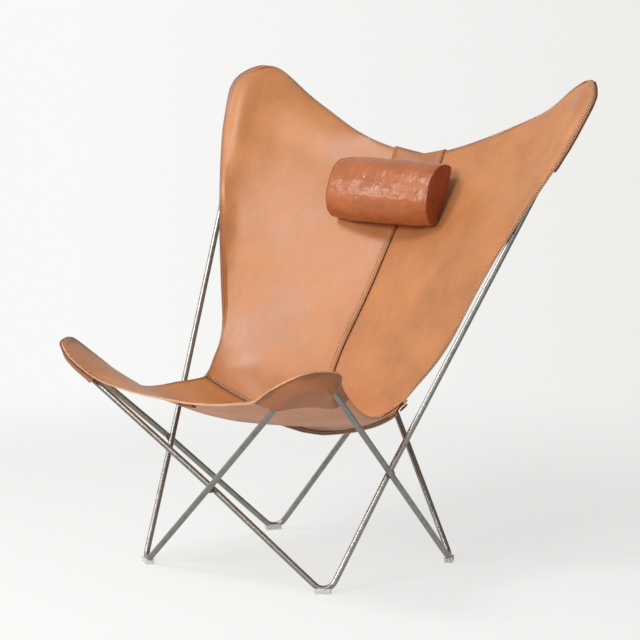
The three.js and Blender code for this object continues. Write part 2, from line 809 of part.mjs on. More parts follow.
// Strip of leather behind the free top edge, from the strap to the ear pocket
function makeTopStrip(half) {
  const columns = evenly(strapReachShare, earMouthU - seamInsetShare / 2, stripColumns);
  return sheetOf(evenly(0, shareDown(topStripWidth, 0, 0), 2).map((v) => (
    columns.map((u) => lifted(half, u, v, -lapStep - fitGap)))), leatherThickness);
}

// Short tab sewn under the middle of the front edge
function makeFrontTab() {
  const reach = tabLength / 2 / kneeFrontHalfWidth;
  return sheetOf(evenly(1 - shareDown(tabWidth, 0, 1), 1, 2).map((v) => [
    ...evenly(reach, 0, 2).slice(0, -1).map((u) => lifted(halves.left, u, v, -lapStep)),
    ...evenly(0, reach, 2).map((u) => lifted(halves.right, u, v, -lapStep)),
  ]), leatherThickness);
}

// Small tab under each end of the seat seam, below the seat's folded edge
function makeSeamTab(half) {
  const reach = tabLength / 2 / half.edge.getPoint(seamV).x;
  const deep = shareDown(tabWidth / 2, 1, seamV);
  const columns = evenly(1 - reach, 1, tabColumns);
  return sheetOf(evenly(seamV - deep, seamV + deep, 2).map((v) => (
    columns.map((u) => lifted(half, u, v, -2 * lapStep - fitGap)))), leatherThickness);
}

// Bolster: a round front on a nearly flat back, drawn in a little towards its ends
const bolsterFrontSides = 16;
const bolsterBackSides = 8;
const frontPower = 2.3;
const bolsterLean = THREE.MathUtils.degToRad(bolsterTilt);
const bolsterDown = point(0, -Math.sin(bolsterLean), -Math.cos(bolsterLean));
const bolsterOut = point(0, bolsterDown.z, -bolsterDown.y);

const swollen = (s) => Math.sign(s) * Math.abs(s) ** (2 / frontPower);

// Outline in its own plane: first number down the back, second out from it
function bolsterOutline(inset) {
  const outline = [];
  const half = bolsterHeight / 2;
  for (let i = 0; i <= bolsterFrontSides; i += 1) {
    const angle = (Math.PI * i) / bolsterFrontSides;
    outline.push([
      half - swollen(Math.cos(angle)) * (half - inset),
      swollen(Math.sin(angle)) * (bolsterDepth - inset),
    ]);
  }
  for (let i = 1; i < bolsterBackSides; i += 1) {
    const t = i / bolsterBackSides;
    outline.push([
      THREE.MathUtils.lerp(bolsterHeight - inset, inset, t),
      -bolsterBackCrown * Math.sin(Math.PI * t),
    ]);
  }
  return outline.map(([down, out]) => [down, Math.max(out, inset - bolsterBackCrown)]);
}

function bolsterPoint(x, down, out) {
  return point(x, bolsterTopY, bolsterTopZ)
    .addScaledVector(bolsterDown, down)
    .addScaledVector(bolsterOut, out);
}

// Ring of the outline at a place along the bolster, smaller where the ends draw in
function bolsterRing(x, inset) {
  const towardsEnd = Math.abs(x) / bolsterHalfLength;
  const draw = bolsterEndDraw * smoothStep((towardsEnd - 0.6) / 0.4);
  const middle = [bolsterHeight / 2, bolsterDepth / 2];
  const small = 1 - (2 * draw) / bolsterHeight;
  return bolsterOutline(inset).map(([down, out]) => bolsterPoint(
    x,
    middle[0] + (down - middle[0]) * small,
    middle[1] + (out - middle[1]) * small,
  ));
}

// Closed solid from rings of points, open as a sleeve where inner rings are given
function ringSolid(outer, inner) {
  const around = outer[0].length;
  const positions = [...outer.flat(), ...(inner ? inner.flat() : [])];
  const triangles = [];
  const quad = (a, b, c, d) => triangles.push([a, b, c], [a, c, d]);
  const shift = outer.length * around;
  for (let i = 0; i + 1 < outer.length; i += 1) {
    for (let j = 0; j < around; j += 1) {
      const next = (j + 1) % around;
      const [a, b] = [i * around + j, i * around + next];
      const [c, d] = [b + around, a + around];
      quad(a, b, c, d);
      if (inner) quad(a + shift, d + shift, c + shift, b + shift);
    }
  }
  const end = (outer.length - 1) * around;
  for (let j = 0; j < around; j += 1) {
    const next = (j + 1) % around;
    if (inner) {
      quad(next, j, j + shift, next + shift);
      quad(end + j, end + next, end + next + shift, end + j + shift);
    } else if (j > 0 && j < around - 1) {
      triangles.push([0, next, j], [end, end + j, end + next]);
    }
  }
  return facingOut(positions, triangles);
}

function makeBolsterCover() {
  const places = evenly(-bolsterHalfLength, bolsterHalfLength, 10);
  return ringSolid(
    places.map((x) => bolsterRing(x, 0)),
    places.map((x) => bolsterRing(x, coverThickness)),
  );
}

function makeBolsterFoam() {
  const reach = bolsterHalfLength - fitGap;
  return ringSolid(evenly(-reach, reach, 10).map((x) => bolsterRing(x, coverThickness + fitGap)));
}

function makeBolsterCap(side) {
  const inner = bolsterHalfLength + fitGap;
  return ringSolid([inner, inner + coverThickness].map((x) => bolsterRing(side * x, 0)));
}

function makePiping(side) {
  const x = side * (bolsterHalfLength + fitGap / 2);
  const centre = bolsterPoint(x, bolsterHeight / 2, bolsterDepth / 2);
  const reach = pipingDiameter / 2 + 2 * fitGap;
  const ring = bolsterRing(x, 0).map((p) => (
    p.clone().addScaledVector(p.clone().sub(centre).normalize(), reach)));
  const bead = evenly(0, 1, threadSides).slice(0, -1).map((t) => {
    const angle = 2 * Math.PI * t;
    return ring.map((p) => {
      const out = p.clone().sub(centre).normalize();
      const at = p.clone().addScaledVector(out, Math.cos(angle) * pipingDiameter / 2);
      at.x += Math.sin(angle) * pipingDiameter / 2;
      return at;
    });
  });
  const positions = bead.flat();
  const around = ring.length;
  const triangles = [];
  for (let i = 0; i < bead.length; i += 1) {
    for (let j = 0; j < around; j += 1) {
      const a = i * around + j;
      const b = i * around + ((j + 1) % around);
      const c = ((i + 1) % bead.length) * around + ((j + 1) % around);
      const d = ((i + 1) % bead.length) * around + j;
      triangles.push([a, b, c], [a, c, d]);
    }
  }
  return facingOut(positions, triangles);
}

function slingAt(x, v, lift) {
  const half = x < 0 ? halves.left : halves.right;
  return lifted(half, Math.abs(x) / half.edge.getPoint(v).x, v, lift);
}

// The strap comes up from the bolster's lower back seam, lies on the sling, folds over its top edge
// and hangs down behind with the counterweight
const strapFrontLift = halfLeather + threadLift + threadDiameter / 2 + 2 * fitGap + strapThickness / 2;
const strapBackLift = strapFrontLift + leatherThickness + fitGap;
const strapFrontShares = [0.255, 0.21, 0.165, 0.12, 0.08, 0.04, 0];

function strapRows() {
  const columns = evenly(-strapHalfWidth, strapHalfWidth, 8);
  const attach = bolsterPoint(0, bolsterHeight, 0);
  const hold = columns.map((x) => point(x, attach.y, attach.z)
    .addScaledVector(bolsterOut, -2 * fitGap - strapThickness / 2)
    .addScaledVector(bolsterDown, -strapThickness));
  const lying = strapFrontShares.map((v) => columns.map((x) => slingAt(x, v, strapFrontLift)));
  const over = [0.25, 0.5, 0.75, 1].map((turn) => columns.map((x) => {
    const front = slingAt(x, 0, strapFrontLift);
    const edge = slingAt(x, 0, 0);
    const out = front.clone().sub(edge).normalize();
    const up = point(0, -out.z, out.y).negate();
    const lift = THREE.MathUtils.lerp(strapFrontLift, strapBackLift, turn);
    const angle = turn * Math.PI;
    return edge.addScaledVector(out, lift * Math.cos(angle)).addScaledVector(up, lift * Math.sin(angle));
  }));
  const last = over[over.length - 1];
  const hanging = evenly(0, 1, 4).slice(1).map((t) => last.map((p) => (
    point(p.x, p.y, THREE.MathUtils.lerp(p.z, topEdgeZ - strapDrop, t)))));
  return { hold, lying, over, hanging };
}

function makeStrap() {
  const { hold, lying, over, hanging } = strapRows();
  return sheetOf([hold, ...lying, ...over, ...hanging], strapThickness);
}

// Folded leather sleeve with a round steel bar in it, hung from the strap's rear end
const sleeveSides = 16;

function sleeveRing(x, inset, centre) {
  const radius = pouchDepth / 2 - inset;
  const straight = (pouchHeight - pouchDepth) / 2;
  return evenly(0, 1, sleeveSides).slice(1).map((share) => {
    const angle = 2 * Math.PI * (share - 1 / sleeveSides / 2);
    const rise = Math.cos(angle);
    const height = radius * rise + Math.sign(rise) * straight;
    return point(x, centre.y + radius * Math.sin(angle), centre.z + height);
  });
}

function pouchCentre() {
  const { hanging } = strapRows();
  const end = hanging[hanging.length - 1];
  return point(0, end[end.length >> 1].y, topEdgeZ - strapDrop - fitGap - pouchHeight / 2);
}

function makePouch() {
  const centre = pouchCentre();
  const places = evenly(-strapHalfWidth, strapHalfWidth, 2);
  return ringSolid(
    places.map((x) => sleeveRing(x, 0, centre)),
    places.map((x) => sleeveRing(x, pouchWall, centre)),
  );
}

function makeBar() {
  const length = 2 * (strapHalfWidth - barEndInset);
  const bar = new THREE.CylinderGeometry(barDiameter / 2, barDiameter / 2, length, 16);
  bar.rotateZ(Math.PI / 2);
  const centre = pouchCentre();
  const floor = pouchHeight / 2 - pouchWall - barDiameter / 2;
  bar.translate(0, centre.y, centre.z - floor + 2 * fitGap);
  return bar;
}

function buildFrame() {
  const group = new THREE.Group();
  ['left', 'right'].forEach((side, i) => {
    const { corners, stations } = loops[i];
    const other = side === 'left' ? 'right' : 'left';
    group.add(named(`${side}_loop_rod`, bare(rodTube(stations, rodRadius)), brushedSteel));
    const front = makeGlide(corners.frontFoot, stations, swollenRods[i]);
    const rear = makeGlide(corners.rearFoot, stations, swollenRods[i]);
    group.add(named(`front_${side}_glide`, front, clearPlastic));
    group.add(named(`rear_${other}_glide`, rear, clearPlastic));
  });
  group.add(named('front_weld', makeWeld(frontCrossing), weldSteel));
  group.add(named('back_weld', makeWeld(backCrossing), weldSteel));
  group.add(named('left_weld', makeWeld(mirrored(sideCrossing)), weldSteel));
  group.add(named('right_weld', makeWeld(sideCrossing), weldSteel));
  return group;
}

function buildSling() {
  const group = new THREE.Group();
  const leftBack = named('left_back_panel', makeBackPanel(halves.left, false), slingLeather);
  const rightBack = named('right_back_panel', makeBackPanel(halves.right, true), slingLeather);
  const seat = named('seat_panel', makeSeatPanel(), slingLeather);
  group.add(leftBack, rightBack, seat);
  const backs = { left: leftBack, right: rightBack };
  for (const [side, half] of Object.entries(halves)) {
    const earPocket = makePocket(half, 0, earMouthU, earMouthV, earMouthBulgeShare);
    const kneePocket = makePocket(half, 1, kneeMouthU, kneeMouthV, kneeMouthBulgeShare);
    group.add(named(`${side}_ear_pocket`, earPocket, pocketLeather));
    group.add(named(`${side}_knee_pocket`, kneePocket, pocketLeather));
    group.add(named(`${side}_top_strip`, makeTopStrip(half), pocketLeather));
    group.add(named(`${side}_seam_tab`, makeSeamTab(half), pocketLeather));
    group.add(named(`${side}_ear_thread`, makeEarThread(half, backs[side]), waxedThread));
    group.add(named(`${side}_knee_thread`, makeKneeThread(half, seat), waxedThread));
  }
  group.add(named('front_edge_tab', makeFrontTab(), pocketLeather));
  group.add(named('middle_seam_thread', makeMiddleThread(leftBack), waxedThread));
  group.add(named('seat_seam_thread', makeSeatThread(leftBack, rightBack), waxedThread));
  return group;
}

function buildHeadrest() {
  const group = new THREE.Group();
  group.add(named('headrest_cover', makeBolsterCover(), bolsterLeather));
  group.add(named('headrest_foam', makeBolsterFoam(), foamWhite));
  group.add(named('headrest_left_cap', makeBolsterCap(-1), bolsterLeather));
  group.add(named('headrest_right_cap', makeBolsterCap(1), bolsterLeather));
  group.add(named('headrest_left_piping', makePiping(-1), bolsterLeather));
  group.add(named('headrest_right_piping', makePiping(1), bolsterLeather));
  group.add(named('headrest_strap', makeStrap(), strapLeather));
  group.add(named('counterweight_pouch', makePouch(), strapLeather));
  group.add(named('counterweight_bar', makeBar(), barSteel));
  return group;
}

// The chair stands with the middle of its box over the origin
const chair = new THREE.Group();
chair.add(buildFrame(), buildSling(), buildHeadrest());
const box = new THREE.Box3().setFromObject(chair);
chair.position.y = -(box.min.y + box.max.y) / 2;

export default chair;
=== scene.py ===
import json
import math

import bmesh
import bpy
from bpy.props import FloatProperty, FloatVectorProperty, IntProperty, PointerProperty
from mathutils import Matrix, Vector
from mathutils.bvhtree import BVHTree
from mathutils.geometry import intersect_point_line
from mathutils.kdtree import KDTree

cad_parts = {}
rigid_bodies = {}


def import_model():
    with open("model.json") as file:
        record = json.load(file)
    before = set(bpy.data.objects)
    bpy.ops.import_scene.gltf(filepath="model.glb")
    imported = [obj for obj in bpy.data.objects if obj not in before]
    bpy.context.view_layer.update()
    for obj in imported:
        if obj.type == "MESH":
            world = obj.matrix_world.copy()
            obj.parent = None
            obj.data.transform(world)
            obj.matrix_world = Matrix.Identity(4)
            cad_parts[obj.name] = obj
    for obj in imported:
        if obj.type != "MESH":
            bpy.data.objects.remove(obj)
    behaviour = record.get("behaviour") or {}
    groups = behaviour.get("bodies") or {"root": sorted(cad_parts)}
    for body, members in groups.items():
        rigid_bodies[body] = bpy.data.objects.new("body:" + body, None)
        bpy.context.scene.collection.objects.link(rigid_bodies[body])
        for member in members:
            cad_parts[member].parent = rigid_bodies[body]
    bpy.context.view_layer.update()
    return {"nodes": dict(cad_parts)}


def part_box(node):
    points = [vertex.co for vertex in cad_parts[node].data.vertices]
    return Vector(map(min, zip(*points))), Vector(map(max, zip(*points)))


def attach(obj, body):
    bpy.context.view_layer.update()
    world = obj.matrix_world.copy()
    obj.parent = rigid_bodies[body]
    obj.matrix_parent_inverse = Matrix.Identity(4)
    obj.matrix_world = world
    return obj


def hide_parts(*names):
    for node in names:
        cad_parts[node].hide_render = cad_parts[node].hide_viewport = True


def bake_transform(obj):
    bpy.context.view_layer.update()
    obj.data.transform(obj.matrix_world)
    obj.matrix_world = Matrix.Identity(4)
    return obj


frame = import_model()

bl_info = {
    "name": "Butterfly sling chair",
    "version": (1, 0, 0),
    "blender": (4, 5, 0),
    "location": "3D View > Sidebar > Chair",
    "description": "Dresses a leather sling lounge chair that hangs on a bent steel rod frame",
    "category": "Add Mesh",
}

MM = 0.001
MERGE_DISTANCE = 0.01 * MM

# The sides of a sheet meet at edges that are sharper than this
CREASE = math.radians(50)

# Faces of a leather sheet, in the order of their material slots
GRAIN, FLESH, CUT_EDGE, LAP_EDGE = range(4)

SIDES = ("left", "right")
TOWARDS_SITTER = (0, -0.8, 0.6)
UNDER_AND_BEHIND = (0, 0.8, -0.6)

# Where the sling's shapes change: each from where a change starts to where it is full, in metres
EARS_UP = (0.82, 0.90)
EAR_TIPS_UP = (0.88, 0.98)
KNEES_FORWARD = (0.22, 0.32)
KNEES_ASIDE = (0.12, 0.22)
# Where the outer rims of the knees get painted shade, and how far in from the rim
CURL_SHADE_STARTS, CURL_SHADE_ENDS, CURL_SHADE_ASIDE = (-0.355, -0.335), (-0.27, -0.2), (0.2, 0.26)
CURL_SHADE_DEPTH = (20 * MM, 32 * MM)
CURL_SHADE_BELOW = 0.6
# Where the seam holds the seat's lowest part up
BELLY_STARTS, BELLY_ENDS, BELLY_ASIDE = (-0.32, 0.0), (0.08, 0.26), (0.06, 0.25)

# The middle seam lies within this of the middle, and the seat seam behind this
MIDDLE_SEAM = 9 * MM
SEAT_SEAM = -0.06
# Beyond this, a row of stitches is clear of the middle seam
CLEAR_OF_MIDDLE = 12 * MM
# Left of this the seat seam's flange hangs lower, by this share
FLANGE_LAP, LOWER_SHARE = -24 * MM, 1.3


def linear(code):
    """The linear colour of an sRGB hex value."""
    parts = [int(code[i:i + 2], 16) / 255 for i in (0, 2, 4)]
    return tuple(p / 12.92 if p <= 0.04045 else ((p + 0.055) / 1.055) ** 2.4 for p in parts)


def opaque(colour):
    return (*colour, 1.0)


def shaded(colour, share):
    """A colour made darker or lighter by a share, ready for a socket."""
    return opaque(tuple(min(1.0, part * share) for part in colour))


def colour_value(name, description, code):
    return FloatVectorProperty(
        name=name, description=description, subtype="COLOR", size=3, min=0, max=1,
        default=linear(code),
    )


def length_value(name, description, value):
    return FloatProperty(
        name=name, description=description, subtype="DISTANCE", unit="LENGTH", min=0,
        precision=5, default=value,
    )


def power_value(name, description, value):
    return FloatProperty(name=name, description=description, subtype="POWER", default=value)


def share_value(name, description, value):
    return FloatProperty(name=name, description=description, default=value, min=0)


def angle_value(name, description, value):
    return FloatProperty(
        name=name, description=description, subtype="ANGLE", default=math.radians(value))


class SlingSettings(bpy.types.PropertyGroup):
    """Sizes and colours of the leather sling."""

    grain: colour_value("Smooth side", "Colour of the hide's smooth side", "C28050")
    # Darker than the sling's smooth side: painted shade on the outsides of the pockets
    pocket: colour_value("Pockets", "Colour of the pockets' smooth side", "B0704A")
    shade: colour_value("Turned-up rim", "Colour in the shade of a knee's turned-up rim", "8C4C2E")
    flesh: colour_value("Rough side", "Colour of the hide's rough side", "CE9472")
    # A dark colour: painted shadow along the laps of the middle and seat seams, and also the dark
    # cut edges of the pockets, strips and tabs
    dark_edge_and_lap_shade: colour_value("Binding", "Colour of the dyed edges of the laps", "7A4526")
    cut: colour_value("Cut edge", "Colour of the hide's cut edge", "DCAA80")
    thread: colour_value("Thread", "Colour of the sewing thread", "F6D0A8")
    hole: colour_value("Needle hole", "Colour in the needle holes", "6A3A20")
    edge_radius: length_value("Edge radius", "Rounding of the cut edges", 0.8 * MM)
    stitch_pitch: length_value("Stitch pitch", "Distance from one stitch to the next", 5.4 * MM)
    stitch_length: length_value("Stitch length", "Thread that shows between two holes", 2.8 * MM)
    thread_width: length_value("Thread width", "Diameter of the sewing thread", 1.8 * MM)
    hole_width: length_value("Hole width", "Width of the dimple round a needle hole", 3 * MM)
    edge_inset: length_value("Edge stitching", "Distance of the outer row from the edge", 4 * MM)
    row_gap: length_value("Row gap", "Distance between two rows of stitching", 6.5 * MM)
    seam_inset: length_value("Seam stitching", "Distance of the middle row from its lap", 14 * MM)
    welt_width: length_value("Welt width", "Width of the rim round each lobe", 12 * MM)
    welt_groove: length_value("Welt groove", "Width of the groove inside that rim", 2.4 * MM)
    welt_rise: length_value("Welt rise", "How far the rim of a lobe turns up", 1.5 * MM)
    pocket_reach: length_value("Pocket reach", "Furthest a pocket stands off its lobe", 70 * MM)
    pocket_stand: length_value("Pocket stand", "How far a pocket starts off its lobe", 24 * MM)
    rod_gap: length_value("Rod gap", "Least distance of a pocket's skin from a rod", 1.8 * MM)
    thickness: length_value("Thickness", "Thickness of the hide", 3.6 * MM)
    pulls: IntProperty(name="Pulls", description="Rounds of pulling a pocket tight", default=70)
    belly_lift: length_value("Belly lift", "How far the seam holds the seat up", 12 * MM)
    ear_drop: length_value("Ear drop", "How far the tips of the ears sink", 4 * MM)
    flange_height: length_value("Flange height", "Height of the seat seam's flange", 10 * MM)
    flange_thickness: length_value("Flange thickness", "Thickness of that flange", 5 * MM)
    wave_height: length_value("Wave height", "Height of the hide's slow waves", 2 * MM)
    wave_length: length_value("Wave length", "Distance between the hide's slow waves", 110 * MM)
    levels: IntProperty(name="Smoothing", description="Subdivision levels", default=2, min=0, max=4)


class FrameSettings(bpy.types.PropertyGroup):
    """Sizes and colours of the rod frame and what is on it."""

    steel: colour_value("Rod steel", "Colour of the polished rod", "ACAAA4")
    weld: colour_value("Weld", "Colour of the weld beads", "6E625A")
    glide: colour_value("Glide", "Colour of the clip-on glides", "F2F4EE")
    rod_diameter: length_value("Rod diameter", "Diameter of the round bar", 12 * MM)


class HeadrestSettings(bpy.types.PropertyGroup):
    """Sizes and colours of the bolster headrest, its strap and its counterweight."""

    leather: colour_value("Bolster leather", "Colour of the bolster's wrap", "AE6234")
    cap: colour_value("End caps", "Colour of the bolster's ends", "9C4A28")
    strap: colour_value("Strap", "Colour of the strap", "BE7A50")
    bar: colour_value("Bar", "Colour of the counterweight bar", "8C8C8C")
    voxel: length_value("Voxel", "Cell size that the bolster is remeshed at", 4 * MM)
    slack: length_value("Slack", "How much smaller the wrap starts than it ends", 1.5 * MM)
    pressure: share_value("Pressure", "Push of the filling on the wrap", 4)
    swell_limit: length_value("Swell limit", "Furthest that the wrap may move", 2 * MM)
    piping_width: length_value("Piping width", "Diameter of the cord in the end seams", 2.4 * MM)
    fold_drop: length_value("Fold drop", "How far the strap's top fold settles", 4 * MM)
    fold_reach: length_value("Fold reach", "Height over which the strap settles", 40 * MM)


class StageSettings(bpy.types.PropertyGroup):
    """Camera, lights and floor."""

    azimuth: angle_value("Azimuth", "Turn of the camera from the front", 39.46)
    elevation: angle_value("Elevation", "Height of the camera over the horizon", 7.94)
    distance: length_value("Distance", "Distance from the camera to its aim", 6.087)
    focal_length: share_value("Focal length", "Lens in millimetres, on a 36 mm sensor", 170.04)
    backdrop: colour_value("Backdrop", "Colour behind the chair on the light's side", "F9F9F8")
    # The backdrop's far side from the lights is painted in shade
    backdrop_in_shade: colour_value("Backdrop far side", "Colour behind the chair's far side", "EDECE9")
    floor: colour_value("Floor", "Colour of the floor", "FAFAF8")
    floor_reach: length_value("Floor reach", "Distance at which the floor starts to fade", 1.1)
    floor_fade: length_value("Floor fade", "Distance over which the floor fades", 1.2)
    floor_mirrored: share_value("Floor in metal", "Brightness of the floor in metal", 0.55)
    key_power: power_value("Key light", "Power of the key light", 66)
    fill_power: power_value("Fill light", "Power of the fill light", 14)
    top_power: power_value("Top light", "Power of the light overhead", 40)
    side_power: power_value("Side light", "Power of the light that glints on the bolster", 11)
    ambient: share_value("Ambient", "Strength of the light from all round", 0.3)
    room: share_value("Room", "Brightness that metal reflects of the unlit side", 0.4)


# Sockets of a colour mix
MIX_A, MIX_B, MIX_RESULT = 6, 7, 2


def feed(node, inputs):
    """Feeds a node's inputs, each with a value, a socket or a node's first output."""
    for key, value in inputs.items():
        if isinstance(value, bpy.types.Node):
            value = value.outputs[0]
        if isinstance(value, bpy.types.NodeSocket):
            node.id_data.links.new(value, node.inputs[key])
        else:
            node.inputs[key].default_value = value


def add(tree, kind, inputs=None, **settings):
    """Adds a node with its settings and what feeds it."""
    made = tree.nodes.new(kind)
    for key, value in settings.items():
        if key == "stops":
            ramp = made.color_ramp
            while len(ramp.elements) < len(value):
                ramp.elements.new(1)
            for element, (place, colour) in zip(ramp.elements, value):
                element.position = place
                element.color = colour
        else:
            setattr(made, key, value)
    feed(made, inputs or {})
    return made


def new_material(name, **values):
    """A material, its node tree, its shader and its object coordinates."""
    made = bpy.data.materials.new(name)
    made.use_nodes = True
    tree = made.node_tree
    shader = tree.nodes["Principled BSDF"]
    for key, value in values.items():
        shader.inputs[key.replace("_", " ")].default_value = value
    where = add(tree, "ShaderNodeTexCoord").outputs["Object"]
    return made, tree, shader, where


def grain_material(name, colour, rough, cloud=0.16, speckled=True, shade=None, rubbed=0.6):
    """Smooth side of vegetable-tanned hide: a low waxy sheen over slow clouds of colour, with the
    hide's growth lines and its pores, drawn 2.4 mm apart so that they show."""
    made, tree, shader, where = new_material(name, Specular_IOR_Level=0.4)
    clouds = add(tree, "ShaderNodeTexNoise", {
        "Vector": where, "Scale": 1 / (120 * MM), "Detail": 4.0, "Roughness": 0.6,
    })
    long_lines = add(tree, "ShaderNodeMapping", {"Vector": where, "Scale": (1.0, 0.3, 0.3)})
    growth = add(tree, "ShaderNodeTexNoise", {
        "Vector": long_lines, "Scale": 1 / (14 * MM), "Detail": 6.0, "Roughness": 0.65,
    })
    mixed = add(tree, "ShaderNodeMath", {0: growth, 1: 0.3, 2: clouds}, operation="MULTIPLY_ADD")
    tone = add(tree, "ShaderNodeValToRGB", {"Fac": mixed}, stops=[
        (0.45, shaded(colour, 1 - cloud)), (0.66, opaque(colour)), (0.9, shaded(colour, 1 + cloud)),
    ])
    rim = add(tree, "ShaderNodeAttribute", attribute_name="rim_mm")
    worn = add(tree, "ShaderNodeMapRange", {
        "Value": rim.outputs["Fac"], "From Min": 2.0, "From Max": 9.0, "To Min": rubbed,
        "To Max": 1.0,
    })
    edged = add(tree, "ShaderNodeMix", {
        0: 1.0, MIX_A: tone, MIX_B: worn,
    }, data_type="RGBA", blend_type="MULTIPLY")
    # Painted shade on the knees' turned-up outer rims
    curl = add(tree, "ShaderNodeAttribute", attribute_name="curl")
    curl_shade_share = add(tree, "ShaderNodeMath", {0: curl.outputs["Fac"], 1: 0.75}, operation="MULTIPLY")
    edged = add(tree, "ShaderNodeMix", {
        0: curl_shade_share, MIX_A: edged.outputs[MIX_RESULT], MIX_B: opaque(shade or colour),
    }, data_type="RGBA")
    last = edged
    if speckled:
        spot = add(tree, "ShaderNodeTexVoronoi", {
            "Vector": where, "Scale": 1 / (42 * MM), "Randomness": 1.0,
        })
        small = add(tree, "ShaderNodeMapRange", {
            "Value": spot, "From Min": 0.012, "From Max": 0.035,
            "To Min": 0.72, "To Max": 1.0,
        })
        last = add(tree, "ShaderNodeMix", {
            0: 1.0, MIX_A: edged.outputs[MIX_RESULT], MIX_B: small,
        }, data_type="RGBA", blend_type="MULTIPLY")
    pores = add(tree, "ShaderNodeTexVoronoi", {"Vector": where, "Scale": 1 / (2.4 * MM)})
    polish = add(tree, "ShaderNodeMapRange", {
        "Value": clouds, "From Min": 0.35, "From Max": 0.65,
        "To Min": rough - 0.05, "To Max": rough + 0.07,
    })
    pored = add(tree, "ShaderNodeBump", {"Height": pores, "Strength": 0.16, "Distance": 0.3 * MM})
    creased = add(tree, "ShaderNodeBump", {
        "Height": growth, "Strength": 0.25, "Distance": 1.2 * MM, "Normal": pored,
    })
    feed(shader, {"Base Color": last.outputs[MIX_RESULT], "Roughness": polish, "Normal": creased})
    return made


def flesh_material(name, colour):
    """Rough side of the hide: napped, without gloss, with fibres drawn 1.6 mm apart so that they
    show, and painted shade under the left of the seat's lowest part."""
    made, tree, shader, where = new_material(
        name, Roughness=0.92, Specular_IOR_Level=0.2, Sheen_Weight=0.25, Sheen_Roughness=0.5)
    blotch = add(tree, "ShaderNodeTexNoise", {
        "Vector": where, "Scale": 1 / (60 * MM), "Detail": 4.0, "Roughness": 0.6,
    })
    nap = add(tree, "ShaderNodeTexNoise", {
        "Vector": where, "Scale": 1 / (1.6 * MM), "Detail": 4.0, "Roughness": 0.7,
    })
    mixed = add(tree, "ShaderNodeMath", {0: nap, 1: 0.35, 2: blotch}, operation="MULTIPLY_ADD")
    tone = add(tree, "ShaderNodeValToRGB", {"Fac": mixed}, stops=[
        (0.42, shaded(colour, 0.8)), (0.68, opaque(colour)), (0.95, shaded(colour, 1.16)),
    ])
    place = add(tree, "ShaderNodeSeparateXYZ", {0: where})
    # Painted shade under the left of the seat's lowest part: full behind y -0.18, below z 0.33 and
    # left of the middle
    under_seat_shade = None
    for axis, shade_starts, shade_full in (("Y", -0.26, -0.18), ("Z", 0.34, 0.33), ("X", 0.08, 0.0)):
        near = add(tree, "ShaderNodeMapRange", {
            "Value": place.outputs[axis], "From Min": shade_starts, "From Max": shade_full,
        })
        under_seat_shade = near if under_seat_shade is None else add(
            tree, "ShaderNodeMath", {0: under_seat_shade, 1: near}, operation="MULTIPLY")
    tone = add(tree, "ShaderNodeMix", {
        0: under_seat_shade, MIX_A: tone, MIX_B: shaded(colour, 0.42),
    }, data_type="RGBA")
    rise = add(tree, "ShaderNodeBump", {"Height": nap, "Strength": 0.5, "Distance": 0.5 * MM})
    feed(shader, {"Base Color": tone.outputs[MIX_RESULT], "Normal": rise})
    return made


def mottled_material(name, colour, size, stops, polish=None, relief=None, detail=2.0,
                     roughness=0.5, **values):
    """A material that follows one noise of some size. The stops are places in the noise with
    shares of the colour, the polish is the roughness at its low and its high end, and the relief
    is how strongly and how far it raises the surface."""
    made, tree, shader, where = new_material(name, **values)
    noise = add(tree, "ShaderNodeTexNoise", {
        "Vector": where, "Scale": 1 / size, "Detail": detail, "Roughness": roughness,
    })
    tone = add(tree, "ShaderNodeValToRGB", {"Fac": noise}, stops=[
        (place, shaded(colour, share)) for place, share in stops
    ])
    feed(shader, {"Base Color": tone})
    if polish:
        feed(shader, {"Roughness": add(tree, "ShaderNodeMapRange", {
            "Value": noise, "From Min": 0.3, "From Max": 0.7, "To Min": polish[0],
            "To Max": polish[1],
        })})
    if relief:
        feed(shader, {"Normal": add(tree, "ShaderNodeBump", {
            "Height": noise, "Strength": relief[0], "Distance": relief[1],
        })})
    return made


def cut_edge_material(name, colour):
    """Cut edge of thick hide: pale fibres in layers, with darker lines where it was rubbed."""
    return mottled_material(
        name, colour, 2.2 * MM, ((0.36, 0.62), (0.55, 1), (0.75, 1.12)), relief=(0.4, 0.4 * MM),
        detail=5.0, roughness=0.7, Roughness=0.7, Specular_IOR_Level=0.3,
    )


def thread_material(colour):
    """Waxed linen thread: two plies twisted, dull, a little darker where wax has gathered."""
    return mottled_material(
        "waxed_thread", colour, 1.2 * MM, ((0.3, 0.75), (0.7, 1.1)), Roughness=0.62)


def needle_hole_material(colour):
    """Inside of a needle hole: bare hide in deep shade."""
    return mottled_material(
        "needle_hole", colour, 0.8 * MM, ((0.3, 0.7), (0.7, 1.2)), Roughness=0.95,
        Specular_IOR_Level=0.1,
    )


def rod_material(colour):
    """Drawn stainless bar, belt polished along its length: bright, with a few tarnished spots."""
    return mottled_material(
        "polished_rod", colour, 18 * MM, ((0.3, 0.7), (0.5, 1), (0.8, 1.08)), polish=(0.42, 0.34),
        detail=6.0, roughness=0.7, Metallic=1.0,
    )


def weld_material(colour):
    """Weld bead, wire brushed: dull steel with brown heat tint and small lumps."""
    return mottled_material(
        "weld_bead", colour, 4 * MM, ((0.35, 0.5), (0.65, 1.3)), relief=(0.7, 1 * MM), detail=5.0,
        roughness=0.65, Metallic=0.85, Roughness=0.5,
    )


def glide_material(colour):
    """Moulded natural polyethylene: milky and waxy, scuffed where it meets the floor."""
    return mottled_material(
        "milky_polyethylene", colour, 3 * MM, ((0.3, 0.72), (0.6, 1)), polish=(0.6, 0.38),
        detail=6.0, roughness=0.7, IOR=1.51, Transmission_Weight=0.15, Subsurface_Weight=0.25,
        Subsurface_Radius=(3 * MM, 3 * MM, 2.6 * MM),
    )


def bar_material(colour):
    """Turned mild steel bar: plain, with a little rust bloom."""
    return mottled_material(
        "turned_bar", colour, 10 * MM, ((0.35, 0.6), (0.6, 1)), detail=5.0, Metallic=1.0,
        Roughness=0.4,
    )


